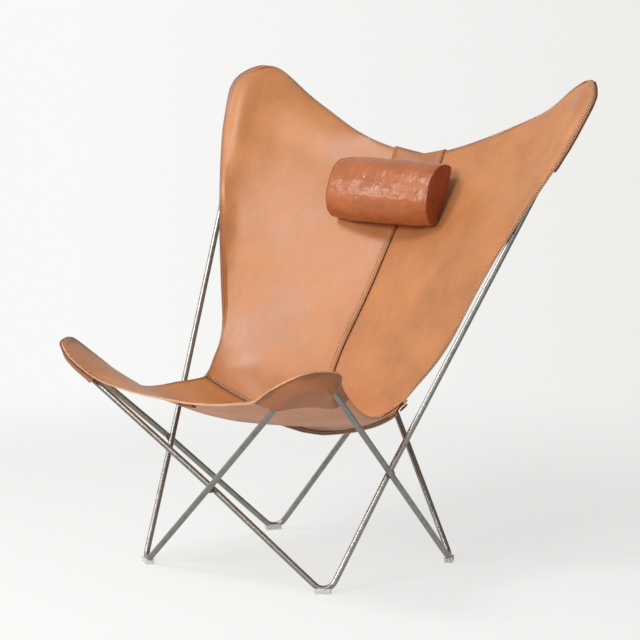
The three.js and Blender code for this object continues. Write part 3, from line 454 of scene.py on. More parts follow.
def bolster_material(name, colour, rough):
    """Glazed cognac hide pulled tight over foam: glossy, with shallow dents that break the light
    up, short creases across it and rubbed tones."""
    made, tree, shader, where = new_material(name, Specular_IOR_Level=0.45)
    clouds = add(tree, "ShaderNodeTexNoise", {
        "Vector": where, "Scale": 1 / (55 * MM), "Detail": 5.0, "Roughness": 0.6,
    })
    tone = add(tree, "ShaderNodeValToRGB", {"Fac": clouds}, stops=[
        (0.3, shaded(colour, 0.82)), (0.52, opaque(colour)), (0.75, shaded(colour, 1.14)),
    ])
    polish = add(tree, "ShaderNodeMapRange", {
        "Value": clouds, "From Min": 0.3, "From Max": 0.7,
        "To Min": rough, "To Max": rough + 0.12,
    })
    short = add(tree, "ShaderNodeMapping", {"Vector": where, "Scale": (1.0, 0.3, 0.3)})
    creases = add(tree, "ShaderNodeTexNoise", {
        "Vector": short, "Scale": 1 / (9 * MM), "Detail": 3.0, "Roughness": 0.5,
    })
    dents = add(tree, "ShaderNodeTexNoise", {
        "Vector": where, "Scale": 1 / (26 * MM), "Detail": 2.0,
    })
    pores = add(tree, "ShaderNodeTexVoronoi", {"Vector": where, "Scale": 1 / (2 * MM)})
    pored = add(tree, "ShaderNodeBump", {"Height": pores, "Strength": 0.12, "Distance": 0.3 * MM})
    creased = add(tree, "ShaderNodeBump", {
        "Height": creases, "Strength": 0.25, "Distance": 0.8 * MM, "Normal": pored,
    })
    dented = add(tree, "ShaderNodeBump", {
        "Height": dents, "Strength": 0.4, "Distance": 7 * MM, "Normal": creased,
    })
    feed(shader, {"Base Color": tone, "Roughness": polish, "Normal": dented})
    return made


def cad_copy(node_name):
    """The shape of a CAD node, its loose triangles merged and paired into four-sided faces."""
    shape = bmesh.new()
    shape.from_mesh(frame["nodes"][node_name].data)
    bmesh.ops.remove_doubles(shape, verts=shape.verts, dist=MERGE_DISTANCE)
    bmesh.ops.join_triangles(
        shape, faces=shape.faces, angle_face_threshold=math.pi / 4, angle_shape_threshold=math.pi,
        topology_influence=1.0,
    )
    return shape


def regions(shape, crease):
    """Groups of faces with no sharp edge between them, the largest area first."""
    left = set(shape.faces)
    found = []
    while left:
        group, edge_of_group = [], [left.pop()]
        while edge_of_group:
            face = edge_of_group.pop()
            group.append(face)
            for edge in face.edges:
                if edge.calc_face_angle(math.pi) > crease:
                    continue
                for other in edge.link_faces:
                    if other in left:
                        left.remove(other)
                        edge_of_group.append(other)
        found.append(group)
    return sorted(found, key=lambda group: -sum(face.calc_area() for face in group))


def mark_sides(shape, outward):
    """Gives each face of a sheet the slot of its smooth side, rough side or cut edge."""
    for face in shape.faces:
        face.material_index = CUT_EDGE
    for group in regions(shape, CREASE)[:2]:
        facing = sum((face.normal * face.calc_area() for face in group), Vector())
        side = GRAIN if facing.dot(outward) > 0 else FLESH
        for face in group:
            face.material_index = side


def round_rims(shape, radius):
    """Rounds the sharp edges between a sheet's sides and its cut edge."""
    rims = [
        edge for edge in shape.edges
        if len({face.material_index for face in edge.link_faces}) > 1
        or edge.calc_face_angle(0) > CREASE
    ]
    bmesh.ops.bevel(
        shape, geom=rims, offset=radius, segments=2, profile=0.5, affect="EDGES", material=-1,
        clamp_overlap=True,
    )


def outline_of(shape, side):
    """The closed line of points round one side of a sheet, with that side's normals."""
    around = {}
    for edge in shape.edges:
        sides = [face for face in edge.link_faces if face.material_index == side]
        if len(edge.link_faces) == 2 and len(sides) == 1:
            a, b = edge.verts
            around.setdefault(a, []).append((b, sides[0]))
            around.setdefault(b, []).append((a, sides[0]))
    loops = []
    left = set(around)
    while left:
        vert = min(left, key=lambda v: v.co[:])
        loop = []
        while vert in left:
            left.remove(vert)
            loop.append((vert.co.copy(), around[vert][0][1].normal.copy()))
            onward = [other for other, face in around[vert] if other in left]
            vert = onward[0] if onward else vert
        loops.append(loop)
    return max(loops, key=len)


def nearest_on(outline):
    """A tree that finds the nearest point of an outline."""
    near = KDTree(len(outline))
    for index, (place, normal) in enumerate(outline):
        near.insert(place, index)
    near.balance()
    return near


def write_rim_distance(mesh, outline):
    """Stores how far each point lies from the sheet's outline, in millimetres, and how much painted
    shade the outer rim of a knee gets where it turns up."""
    near = nearest_on(outline)
    distance = mesh.attributes.new("rim_mm", "FLOAT", "POINT")
    curl = mesh.attributes.new("curl", "FLOAT", "POINT")
    for index, vert in enumerate(mesh.vertices):
        place, found, inside = near.find(vert.co)
        distance.data[index].value = inside / MM
        outer = step_between(place.y, *CURL_SHADE_STARTS) * (1 - step_between(place.y, *CURL_SHADE_ENDS))
        knee = outer * step_between(abs(place.x), *CURL_SHADE_ASIDE) * (place.z < CURL_SHADE_BELOW)
        curl.data[index].value = knee * (1 - step_between(inside, *CURL_SHADE_DEPTH))


def kept_mesh(name, shape):
    """A shape's mesh, once the shape is finished with."""
    mesh = bpy.data.meshes.new(name)
    shape.to_mesh(mesh)
    shape.free()
    return mesh


def in_scene(name, data):
    """A new object in the scene."""
    made = bpy.data.objects.new(name, data)
    bpy.context.scene.collection.objects.link(made)
    return made


def finish_piece(name, shape, materials, body, replaced):
    """Makes a shape into a named piece that rides on a body and stands for CAD nodes."""
    mesh = kept_mesh(name, shape)
    for material in materials:
        mesh.materials.append(material)
    mesh.shade_smooth()
    made = in_scene(name, mesh)
    if body:
        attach(made, body)
    if replaced:
        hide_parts(*replaced)
    return made


def smooth(piece, levels):
    """Adds a subdivision that shows the same in the view and in the render."""
    modifier = piece.modifiers.new("Smooth", "SUBSURF")
    modifier.levels = levels
    modifier.render_levels = levels


def wave(piece, settings, direction):
    """Lets slow waves run through a piece of hide, the same ones through neighbouring pieces."""
    texture = bpy.data.textures.get("hide_waves") or bpy.data.textures.new("hide_waves", "CLOUDS")
    texture.noise_scale = settings.wave_length
    texture.noise_depth = 1
    modifier = piece.modifiers.new("Waves", "DISPLACE")
    modifier.texture = texture
    modifier.texture_coords = "LOCAL"
    modifier.direction = direction
    modifier.strength = settings.wave_height
    modifier.mid_level = 0.5


def shown_shape(piece):
    """A piece's shape once its modifiers have run."""
    bpy.context.view_layer.update()
    shown = piece.evaluated_get(bpy.context.evaluated_depsgraph_get())
    shape = bmesh.new()
    shape.from_mesh(shown.to_mesh())
    shown.to_mesh_clear()
    return shape


def step_between(value, low, high):
    """0 below low, 1 above high and a smooth rise between them."""
    share = min(max((value - low) / (high - low), 0.0), 1.0)
    return share * share * (3 - 2 * share)


def lobe_share(place):
    """1 out on an ear or a knee of the sling, 0 on the rest of it."""
    ear = step_between(place.z, *EARS_UP)
    knee = step_between(-place.y, *KNEES_FORWARD) * step_between(abs(place.x), *KNEES_ASIDE)
    return max(ear, knee)


def raise_welt(shape, settings):
    """Cuts a rim and a groove round a sheet, and turns the rim up a little round its lobes, as a
    sewn welt does."""
    outline = outline_of(shape, GRAIN)
    for width in (settings.welt_width, settings.welt_groove):
        side = [face for face in shape.faces if face.material_index == GRAIN and not face.tag]
        ring = bmesh.ops.inset_region(
            shape, faces=side, thickness=width, depth=0, use_boundary=True, use_even_offset=True,
        )
        for face in ring["faces"]:
            face.material_index = GRAIN
            face.tag = True
    near = nearest_on(outline)
    for vert in shape.verts:
        place, index, distance = near.find(vert.co)
        normal = outline[index][1]
        turned_up = 1 - step_between(distance, 0, 1.5 * settings.welt_width)
        vert.co += normal * turned_up * settings.welt_rise * lobe_share(place)


def settle(shape, settings):
    """Lifts the lowest part of the seat, where its seam holds it, and lets the ears' tips sink."""
    for vert in shape.verts:
        along = step_between(vert.co.y, *BELLY_STARTS) * (1 - step_between(vert.co.y, *BELLY_ENDS))
        across = 1 - step_between(abs(vert.co.x), *BELLY_ASIDE)
        vert.co.z += settings.belly_lift * along * across
        vert.co.z -= settings.ear_drop * step_between(vert.co.z, *EAR_TIPS_UP)


def paint_lap_shade(shape):
    """Gives the cut edges that lap over a neighbour at the middle seam and the seat seam a dark
    colour: painted shadow along the step where one panel lies on the next."""
    seam_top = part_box("left_seam_tab")[1].z
    for face in shape.faces:
        place = face.calc_center_median()
        at_middle = abs(place.x) < MIDDLE_SEAM and place.y > 0
        at_seat = place.z < seam_top and place.y > SEAT_SEAM
        if face.material_index == CUT_EDGE and (at_middle or at_seat):
            face.material_index = LAP_EDGE


def leather_sheet(name, node_name, outward, materials, settings, welt=False,
                  sewn_to=None, direction="Y"):
    """A sheet of hide in the shape of its CAD node, with rounded cut edges."""
    if sewn_to:
        shape = taut_pocket(node_name, sewn_to, settings)
    else:
        shape = cad_copy(node_name)
        mark_sides(shape, Vector(outward))
        settle(shape, settings)
    if welt:
        raise_welt(shape, settings)
        paint_lap_shade(shape)
    round_rims(shape, settings.edge_radius)
    outline = outline_of(shape, GRAIN)
    made = finish_piece(name, shape, materials, "chair", [node_name])
    write_rim_distance(made.data, outline)
    smooth(made, settings.levels)
    wave(made, settings, direction)
    return made


def surface_of(node_name):
    """The surface of a CAD node, to find places on."""
    shape = cad_copy(node_name)
    tree = BVHTree.FromBMesh(shape)
    shape.free()
    return tree


def distance_to(edges, place):
    """How far a place lies from the nearest of some edges."""
    nearest = math.inf
    for a, b in edges:
        foot, share = intersect_point_line(place, a, b)
        foot = a if share < 0 else b if share > 1 else foot
        nearest = min(nearest, (foot - place).length)
    return nearest


def keep_side(shape, side):
    """Leaves only one side of a sheet, as an open skin."""
    bmesh.ops.delete(
        shape, geom=[face for face in shape.faces if face.material_index != side], context="FACES")


def new_points(made):
    """The points that an extrusion made."""
    return [part for part in made["geom"] if isinstance(part, bmesh.types.BMVert)]


def thicken(shape, thickness):
    """Gives an open skin its thickness on the side that it faces, and marks its three kinds of
    face: rough towards the old skin, smooth on the new one."""
    shape.normal_update()
    outward = shape.verts.layers.float_vector.new("outward")
    for vert in shape.verts:
        vert[outward] = vert.normal
    inner = set(shape.verts)
    made = bmesh.ops.extrude_face_region(shape, geom=shape.faces[:], use_keep_orig=True)
    for vert in new_points(made):
        vert.co += Vector(vert[outward]) * thickness
    for face in shape.faces:
        of_inner = sum(vert in inner for vert in face.verts)
        face.material_index = {0: GRAIN, len(face.verts): FLESH}.get(of_inner, CUT_EDGE)
    bmesh.ops.recalc_face_normals(shape, faces=shape.faces)


def taut_pocket(node_name, sling, settings):
    """A pocket: the rough side of its lobe, stood off it and pulled tight over the rods, while its
    outer rim stays sewn to the lobe's rim."""
    shape = bmesh.new()
    shape.from_mesh(sling.data)
    keep_side(shape, FLESH)
    lobe = BVHTree.FromBMesh(shape)
    rim = [tuple(vert.co.copy() for vert in edge.verts) for edge in shape.edges if edge.is_boundary]
    cover = surface_of(node_name)
    bare = [
        face for face in shape.faces
        if not cover.ray_cast(face.calc_center_median(), face.normal, settings.pocket_reach)[0]
    ]
    bmesh.ops.delete(shape, geom=bare, context="FACES")
    bmesh.ops.subdivide_edges(shape, edges=shape.edges, cuts=2, use_grid_fill=True)
    shape.normal_update()
    at_rim = 0.5 * MM
    sewn = {
        vert for vert in shape.verts if vert.is_boundary and distance_to(rim, vert.co) < at_rim
    }
    around = {}
    for vert in shape.verts:
        if vert not in sewn:
            edges = [edge for edge in vert.link_edges if edge.is_boundary or not vert.is_boundary]
            around[vert] = [edge.other_vert(vert) for edge in edges]
    for vert in around:
        touch = cover.ray_cast(vert.co, vert.normal, settings.pocket_reach)[0]
        vert.co = touch or vert.co + vert.normal * settings.pocket_stand
        vert.co += vert.normal * settings.thickness
    rods = [surface_of(f"{side}_loop_rod") for side in SIDES]
    for turn in range(settings.pulls):
        goals = {
            vert: sum((other.co for other in others), Vector()) / len(others)
            for vert, others in around.items()
        }
        for vert, goal in goals.items():
            vert.co = (vert.co + goal) / 2
            for solid in (lobe, *rods):
                touch, normal, index, distance = solid.find_nearest(vert.co)
                height = (vert.co - touch).dot(normal)
                if height < settings.rod_gap:
                    vert.co += normal * (settings.rod_gap - height)
    thicken(shape, settings.thickness)
    return shape


def sling_materials(settings):
    names = ("sling_smooth_side", "sling_rough_side", "sling_cut_edge", "sling_lap_edge")
    found = [bpy.data.materials.get(name) for name in names]
    if all(found):
        return found
    return [
        grain_material(names[0], settings.grain, 0.38, shade=settings.shade),
        flesh_material(names[1], settings.flesh),
        cut_edge_material(names[2], settings.cut),
        cut_edge_material(names[3], settings.dark_edge_and_lap_shade),
    ]


def runs_of(outline, keep):
    """The stretches of a closed outline whose points are all to be kept, in order."""
    kept = [keep(place) for place, normal in outline]
    if all(kept):
        return [outline + outline[:1]]
    start = kept.index(False)
    runs, run = [], []
    for index in range(len(outline) + 1):
        at = (start + index) % len(outline)
        if kept[at]:
            run.append(outline[at])
        else:
            runs.append(run)
            run = []
    return [run for run in runs if len(run) > 2]


def inset_line(run, inset, surface):
    """Moves a stretch of outline into the sheet and lays it on the surface."""
    facing_alike = 0.5
    line = []
    for index, (place, normal) in enumerate(run):
        before = run[max(index - 1, 0)][0]
        after = run[min(index + 1, len(run) - 1)][0]
        inward = normal.cross((after - before).normalized()).normalized()
        inner = place + inward * inset
        outer = place - inward * inset
        found = surface.find_nearest(inner)
        other = surface.find_nearest(outer)
        hit = found if found[3] < other[3] else other
        if hit[1].dot(normal) > facing_alike:
            line.append((hit[0], hit[1]))
    return line


def one_stitch(settings):
    """A stitch along X with its needle hole beside it, lying on the ground plane. The real ones
    are about 4 mm apart, which is too fine to show, so they are drawn coarser."""
    flatness, hole_depth = 0.7, 0.3 * MM
    shape = bmesh.new()
    half = Vector((
        settings.stitch_length, settings.thread_width, settings.thread_width * flatness,
    )) / 2
    bmesh.ops.create_uvsphere(
        shape, u_segments=6, v_segments=4, radius=1,
        matrix=Matrix.Translation((0, 0, half.z / 2)) @ Matrix.Diagonal((half.z, half.y, half.x, 1))
        @ Matrix.Rotation(math.pi / 2, 4, "Y"),
    )
    bmesh.ops.scale(shape, verts=shape.verts, vec=(half.x / half.z, 1, half.z / half.x))
    hole = bmesh.ops.create_icosphere(
        shape, subdivisions=1, radius=1,
        matrix=Matrix.Translation((settings.stitch_pitch / 2, 0, 0))
        @ Matrix.Diagonal((settings.hole_width / 2, settings.hole_width / 2, hole_depth, 1)),
    )
    for face in {face for vert in hole["verts"] for face in vert.link_faces}:
        face.material_index = 1
    return kept_mesh("one_stitch", shape)


def stitch_line(shape, line, stitch, pitch):
    """Lays copies of a stitch along a line at an even pitch."""
    far, due = 0.0, pitch
    row = bmesh.new()
    for (a, up_a), (b, up_b) in zip(line, line[1:]):
        step = (b - a).length
        while step > 0 and far + step >= due:
            share = (due - far) / step
            place, up = a.lerp(b, share), up_a.lerp(up_b, share).normalized()
            across = up.cross(b - a).normalized()
            turn = Matrix((across.cross(up), across, up)).transposed().to_4x4()
            laid = stitch.copy()
            laid.transform(Matrix.Translation(place) @ turn)
            row.from_mesh(laid)
            bpy.data.meshes.remove(laid)
            due += pitch
        far += step
    whole = kept_mesh("row", row)
    shape.from_mesh(whole)
    bpy.data.meshes.remove(whole)


def edge_lines(sheet, side, keep, insets):
    """Lines for stitches along the kept stretches of a sheet's outline, at some insets from it."""
    shown = shown_shape(sheet)
    surface = BVHTree.FromBMesh(shown)
    runs = runs_of(outline_of(shown, side), keep)
    shown.free()
    return [inset_line(run, inset, surface) for run in runs for inset in insets]


def stitches(name, lines, settings, replaced=()):
    """One piece of sewing along some lines, each a list of places and normals."""
    shape = bmesh.new()
    stitch = one_stitch(settings)
    for line in lines:
        stitch_line(shape, line, stitch, settings.stitch_pitch)
    bpy.data.meshes.remove(stitch)
    materials = [
        bpy.data.materials.get("waxed_thread") or thread_material(settings.thread),
        bpy.data.materials.get("needle_hole") or needle_hole_material(settings.hole),
    ]
    return finish_piece(name, shape, materials, "chair", replaced)


def seam_places(settings):
    """Places under the seat, straight below the seat seam, each with the way down from it."""
    below_tab, every = 6 * MM, 3
    seam_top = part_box("left_seam_tab")[1].z - below_tab
    seam = []
    for side in SIDES:
        shown = shown_shape(bpy.data.objects[f"sling_{side}_back_panel"])
        seam += [
            place for place, normal in outline_of(shown, GRAIN)
            if place.z < seam_top and abs(place.x) > CLEAR_OF_MIDDLE
        ]
        shown.free()
    seat = shown_shape(bpy.data.objects["sling_seat_panel"])
    keep_side(seat, FLESH)
    under = BVHTree.FromBMesh(seat)
    seat.free()
    down = Vector((0, 0, -1))
    places = []
    for place in sorted(seam, key=lambda place: place.x)[::every]:
        touch, normal, index, distance = under.ray_cast(place, down)
        if touch:
            places.append((touch, (normal + down).normalized()))
    return places


def flange_drop(place, settings):
    """How far the flange hangs down at a place: lower on the left of its lap."""
    return settings.flange_height * (1.0 if place.x > FLANGE_LAP else LOWER_SHARE)


def seam_flange(places, settings):
    """The sewn-up edges of the seat seam, which hang under it."""
    shape = bmesh.new()
    drop = shape.verts.layers.float_vector.new("drop")
    line = []
    for place, down in places:
        vert = shape.verts.new(place)
        vert[drop] = down * flange_drop(place, settings)
        line.append(vert)
    edges = [shape.edges.new(pair) for pair in zip(line, line[1:])]
    made = bmesh.ops.extrude_edge_only(shape, edges=edges)
    for vert in new_points(made):
        vert.co += Vector(vert[drop])
    shape.normal_update()
    if sum(face.normal.y for face in shape.faces) > 0:
        bmesh.ops.reverse_faces(shape, faces=shape.faces)
    thicken(shape, settings.flange_thickness)
    return shape


class CHAIR_OT_rods(bpy.types.Operator):
    """Makes the two bent rod loops round and polished"""

    bl_idname = "sling_chair.rods"
    bl_label = "Rods"

    def execute(self, context):
        settings = context.scene.chair_frame
        steel = rod_material(settings.steel)
        for side in SIDES:
            rod = finish_piece(
                f"{side}_rod", cad_copy(f"{side}_loop_rod"), [steel], "chair",
                [f"{side}_loop_rod"],
            )
            # A smoothed ten-sided tube draws in, so its corners first move out by as much
            sides = 10
            drawn_in = (2 + math.cos(2 * math.pi / sides)) / 3
            swell = rod.modifiers.new("Swell", "DISPLACE")
            swell.mid_level = 0
            swell.strength = settings.rod_diameter / 2 * (1 / drawn_in - 1)
            smooth(rod, 2)
        return {"FINISHED"}


class CHAIR_OT_welds(bpy.types.Operator):
    """Makes the weld beads at the four crossings"""

    bl_idname = "sling_chair.welds"
    bl_label = "Welds"

    def execute(self, context):
        metal = weld_material(context.scene.chair_frame.weld)
        for place in ("front", "back", "left", "right"):
            name = f"{place}_weld"
            smooth(finish_piece(
                f"{name}_bead", cad_copy(name), [metal], "chair", [name]), 1)
        return {"FINISHED"}


class CHAIR_OT_glides(bpy.types.Operator):
    """Makes the four clip-on glides under the feet"""

    bl_idname = "sling_chair.glides"
    bl_label = "Glides"

    def execute(self, context):
        plastic = glide_material(context.scene.chair_frame.glide)
        for end in ("front", "rear"):
            for side in SIDES:
                node_name = f"{end}_{side}_glide"
                shape = cad_copy(node_name)
                bmesh.ops.dissolve_limit(
                    shape, angle_limit=math.radians(4), verts=shape.verts, edges=shape.edges,
                )
                glide = finish_piece(
                    f"{end}_{side}_clip", shape, [plastic], "chair", [node_name])
                glide.data.set_sharp_from_angle(angle=math.radians(35))
                bevel = glide.modifiers.new("Moulded edge", "BEVEL")
                bevel.width = 0.5 * MM
                bevel.segments = 2
                bevel.limit_method = "ANGLE"
        return {"FINISHED"}


class CHAIR_OT_sling(bpy.types.Operator):
    """Makes the sling's back and seat panels"""

    bl_idname = "sling_chair.sling"
    bl_label = "Sling"

    def execute(self, context):
        settings = context.scene.chair_sling
        materials = sling_materials(settings)
        for node_name, direction in (
            ("left_back_panel", "Y"), ("right_back_panel", "Y"), ("seat_panel", "Z"),
        ):
            leather_sheet(
                f"sling_{node_name}", node_name, TOWARDS_SITTER, materials, settings, welt=True,
                direction=direction)
        return {"FINISHED"}


class CHAIR_OT_pockets(bpy.types.Operator):
    """Makes the four pockets, the strips behind the top edge and the small tabs"""

    bl_idname = "sling_chair.pockets"
    bl_label = "Pockets and strips"

    def execute(self, context):
        settings = context.scene.chair_sling
        materials = sling_materials(settings)
        # The pockets' smooth side is the same hide painted darker, as painted shade
        materials[GRAIN] = grain_material(
            "pocket_smooth_side_in_shade", settings.pocket, 0.45, speckled=False)
        materials[CUT_EDGE] = materials[LAP_EDGE]
        for side in SIDES:
            for part, sling, direction in (
                ("ear_pocket", f"sling_{side}_back_panel", "Y"),
                ("knee_pocket", "sling_seat_panel", "Z"),
            ):
                name = f"{side}_{part}"
                leather_sheet(
                    f"sewn_{name}", name, UNDER_AND_BEHIND, materials, settings,
                    sewn_to=bpy.data.objects[sling], direction=direction,
                )
        for name in (
            "left_top_strip", "right_top_strip", "left_seam_tab", "right_seam_tab",
            "front_edge_tab",
        ):
            leather_sheet(
                f"sewn_{name}", name, UNDER_AND_BEHIND, materials, settings)
        return {"FINISHED"}


class CHAIR_OT_stitching(bpy.types.Operator):
    """Sews the edges and the seams"""

    bl_idname = "sling_chair.stitching"
    bl_label = "Stitching"

    def execute(self, context):
        settings = context.scene.chair_sling
        seat = bpy.data.objects["sling_seat_panel"]
        backs = {side: bpy.data.objects[f"sling_{side}_back_panel"] for side in SIDES}
        margin = 4 * MM
        seam_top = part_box("left_seam_tab")[1].z
        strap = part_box("headrest_strap")[1].x + margin
        one = [settings.edge_inset]
        two = [*one, settings.edge_inset + settings.row_gap]
        tip, inner_lobe, outer_lobe = 0.40, 0.92, 0.86
        knees_end, middle_ends, seat_seam_ends = -0.1, 0.79, seam_top - margin

        def doubled(place):
            """Whether a place on an ear's rim has a second row of stitches."""
            return place.z > (outer_lobe if abs(place.x) > tip else inner_lobe)

        for side, sign in (("left", -1), ("right", 1)):
            upper = edge_lines(
                backs[side], GRAIN, lambda p: sign * p.x > strap and seam_top < p.z, one)
            ear = edge_lines(
                backs[side], GRAIN, lambda p: sign * p.x > strap and doubled(p), two[1:])
            stitches(f"{side}_ear_stitches", upper + ear, settings, [f"{side}_ear_thread"])
            knee = edge_lines(
                seat, GRAIN, lambda p: sign * p.x > CLEAR_OF_MIDDLE and p.y < knees_end, one)
            stitches(f"{side}_knee_stitches", knee, settings, [f"{side}_knee_thread"])
        seam = edge_lines(
            backs["left"], GRAIN, lambda p: abs(p.x) < CLEAR_OF_MIDDLE and p.z < middle_ends,
            [settings.seam_inset])
        stitches("middle_seam_stitches", seam, settings, ["middle_seam_thread"])
        across = []
        for side in SIDES:
            across += edge_lines(
                backs[side], GRAIN, lambda p: abs(p.x) > CLEAR_OF_MIDDLE and p.z < seat_seam_ends,
                two)
        stitches("seat_seam_stitches", across, settings, ["seat_seam_thread"])
        return {"FINISHED"}


class CHAIR_OT_flange(bpy.types.Operator):
    """Makes the sewn-up flange that hangs under the seat seam"""

    bl_idname = "sling_chair.flange"
    bl_label = "Seam flange"

    def execute(self, context):
        settings = context.scene.chair_sling
        places = seam_places(settings)
        shape = seam_flange(places, settings)
        surface = BVHTree.FromBMesh(shape)
        in_front, backwards = Vector((0, -20 * MM, 0)), Vector((0, 1, 0))
        upper_row, lower_row = 0.35, 0.75
        lines = []
        for share in (upper_row, lower_row):
            line = []
            for place, down in places:
                start = place + down * flange_drop(place, settings) * share + in_front
                touch, normal, index, distance = surface.ray_cast(start, backwards)
                if touch:
                    line.append((touch, normal))
            lines.append(line)
        flange = finish_piece(
            "seat_seam_flange", shape, sling_materials(settings), "chair", [])
        smooth(flange, 1)
        stitches("seat_flange_stitches", lines, settings)
        return {"FINISHED"}


def inflate(piece, settings):
    """Fills a closed wrap: it is remeshed, blown up a little as cloth and its swell is kept."""
    remesh = piece.modifiers.new("Remesh", "REMESH")
    remesh.mode = "VOXEL"
    remesh.voxel_size = settings.voxel
    bpy.context.view_layer.update()
    graph = bpy.context.evaluated_depsgraph_get()
    even = bpy.data.meshes.new_from_object(piece.evaluated_get(graph))
    piece.modifiers.clear()
    piece.data = even
    start = [vert.co.copy() for vert in even.vertices]
    stiffness, last_frame = 40, 20
    cloth = piece.modifiers.new("Filling", "CLOTH")
    cloth.settings.use_pressure = True
    cloth.settings.uniform_pressure_force = settings.pressure
    cloth.settings.effector_weights.gravity = 0
    cloth.settings.tension_stiffness = stiffness
    cloth.settings.compression_stiffness = stiffness
    cloth.settings.quality = 6
    scene = bpy.context.scene
    for frame_number in range(1, last_frame + 1):
        scene.frame_set(frame_number)
    graph = bpy.context.evaluated_depsgraph_get()
    blown = bpy.data.meshes.new_from_object(piece.evaluated_get(graph))
    piece.modifiers.clear()
    scene.frame_set(1)
    for vert, rest in zip(blown.vertices, start):
        moved = vert.co - rest
        if moved.length > settings.swell_limit:
            vert.co = rest + moved.normalized() * settings.swell_limit
    piece.data = blown


class CHAIR_OT_headrest(bpy.types.Operator):
    """Makes the padded bolster, its end caps and their piped seams"""

    bl_idname = "sling_chair.headrest"
    bl_label = "Headrest"

    def execute(self, context):
        settings = context.scene.chair_headrest
        wrap = bolster_material("cognac_hide", settings.leather, 0.2)
        ends = bolster_material("cognac_hide_ends", settings.cap, 0.4)
        shape = cad_copy("headrest_cover")
        hull = bmesh.ops.convex_hull(shape, input=shape.verts)
        bmesh.ops.delete(shape, geom=list({
            *hull["geom_interior"], *hull["geom_unused"], *hull["geom_holes"],
        }), context="VERTS")
        low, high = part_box("headrest_cover")
        centre = (low + high) / 2
        shares = [1 - 2 * settings.slack / size for size in (high - low)]
        bmesh.ops.scale(shape, verts=shape.verts, vec=shares, space=Matrix.Translation(-centre))
        bmesh.ops.recalc_face_normals(shape, faces=shape.faces)
        nodes = ["headrest_cover", "headrest_foam", "headrest_left_cap", "headrest_right_cap"]
        bolster = finish_piece("headrest_bolster", shape, [], None, nodes)
        inflate(bolster, settings)
        self.fit(bolster.data, low, high)
        bolster.data.materials.clear()
        for material in (wrap, ends, ends):
            bolster.data.materials.append(material)
        sideways = 0.7
        for face in bolster.data.polygons:
            end_slot = 1 if face.normal.x < 0 else 2
            face.material_index = 0 if abs(face.normal.x) < sideways else end_slot
        bolster.data.shade_smooth()
        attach(bolster, "headrest")
        smooth(bolster, 1)
        for end_slot, side in enumerate(SIDES, start=1):
            name = f"headrest_{side}_piping"
            cord = self.piping(bolster.data, end_slot, settings.piping_width / 2)
            finish_piece(f"{name}_cord", cord, [ends], "headrest", [name])
        return {"FINISHED"}

    def piping(self, mesh, end_slot, radius):
        """A round cord laid along the seam between the wrap and one end cap."""
        shape = bmesh.new()
        shape.from_mesh(mesh)
        seam = [place for place, normal in outline_of(shape, end_slot)]
        shape.free()
        smoothings = 12
        for turn in range(smoothings):
            ring = [seam[-1], *seam, seam[0]]
            seam = [(a + 2 * b + c) / 4 for a, b, c in zip(ring, ring[1:], ring[2:])]
        line = bpy.data.curves.new("piping", "CURVE")
        line.dimensions = "3D"
        line.bevel_depth = radius
        line.bevel_resolution = 2
        spline = line.splines.new("POLY")
        spline.points.add(len(seam) - 1)
        for point, place in zip(spline.points, seam):
            point.co = (*place, 1)
        spline.use_cyclic_u = True
        holder = bpy.data.objects.new("piping", line)
        shape = bmesh.new()
        shape.from_mesh(holder.to_mesh())
        bpy.data.objects.remove(holder)
        return shape

    def fit(self, mesh, low, high):
        """Draws the filled wrap out to the box of its CAD node, flat at both ends."""
        places = [vert.co for vert in mesh.vertices]
        centre, half = (low + high) / 2, (high - low) / 2
        for axis in (1, 2):
            least, most = min(p[axis] for p in places), max(p[axis] for p in places)
            for place in places:
                share = (place[axis] - least) / (most - least)
                place[axis] = low[axis] + share * (high[axis] - low[axis])
        # The filling sinks, which makes the lower front fuller than the rest
        fullness = 0.28
        for place in places:
            ahead, below = (centre.y - place.y) / half.y, (centre.z - place.z) / half.z
            fuller = 1 + fullness * max(0, ahead) * max(0, below)
            place.y = centre.y + (place.y - centre.y) * fuller
            place.z = centre.z + (place.z - centre.z) * fuller
        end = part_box("headrest_right_cap")[1].x
        for place in places:
            place.x = min(max(place.x, -end), end)


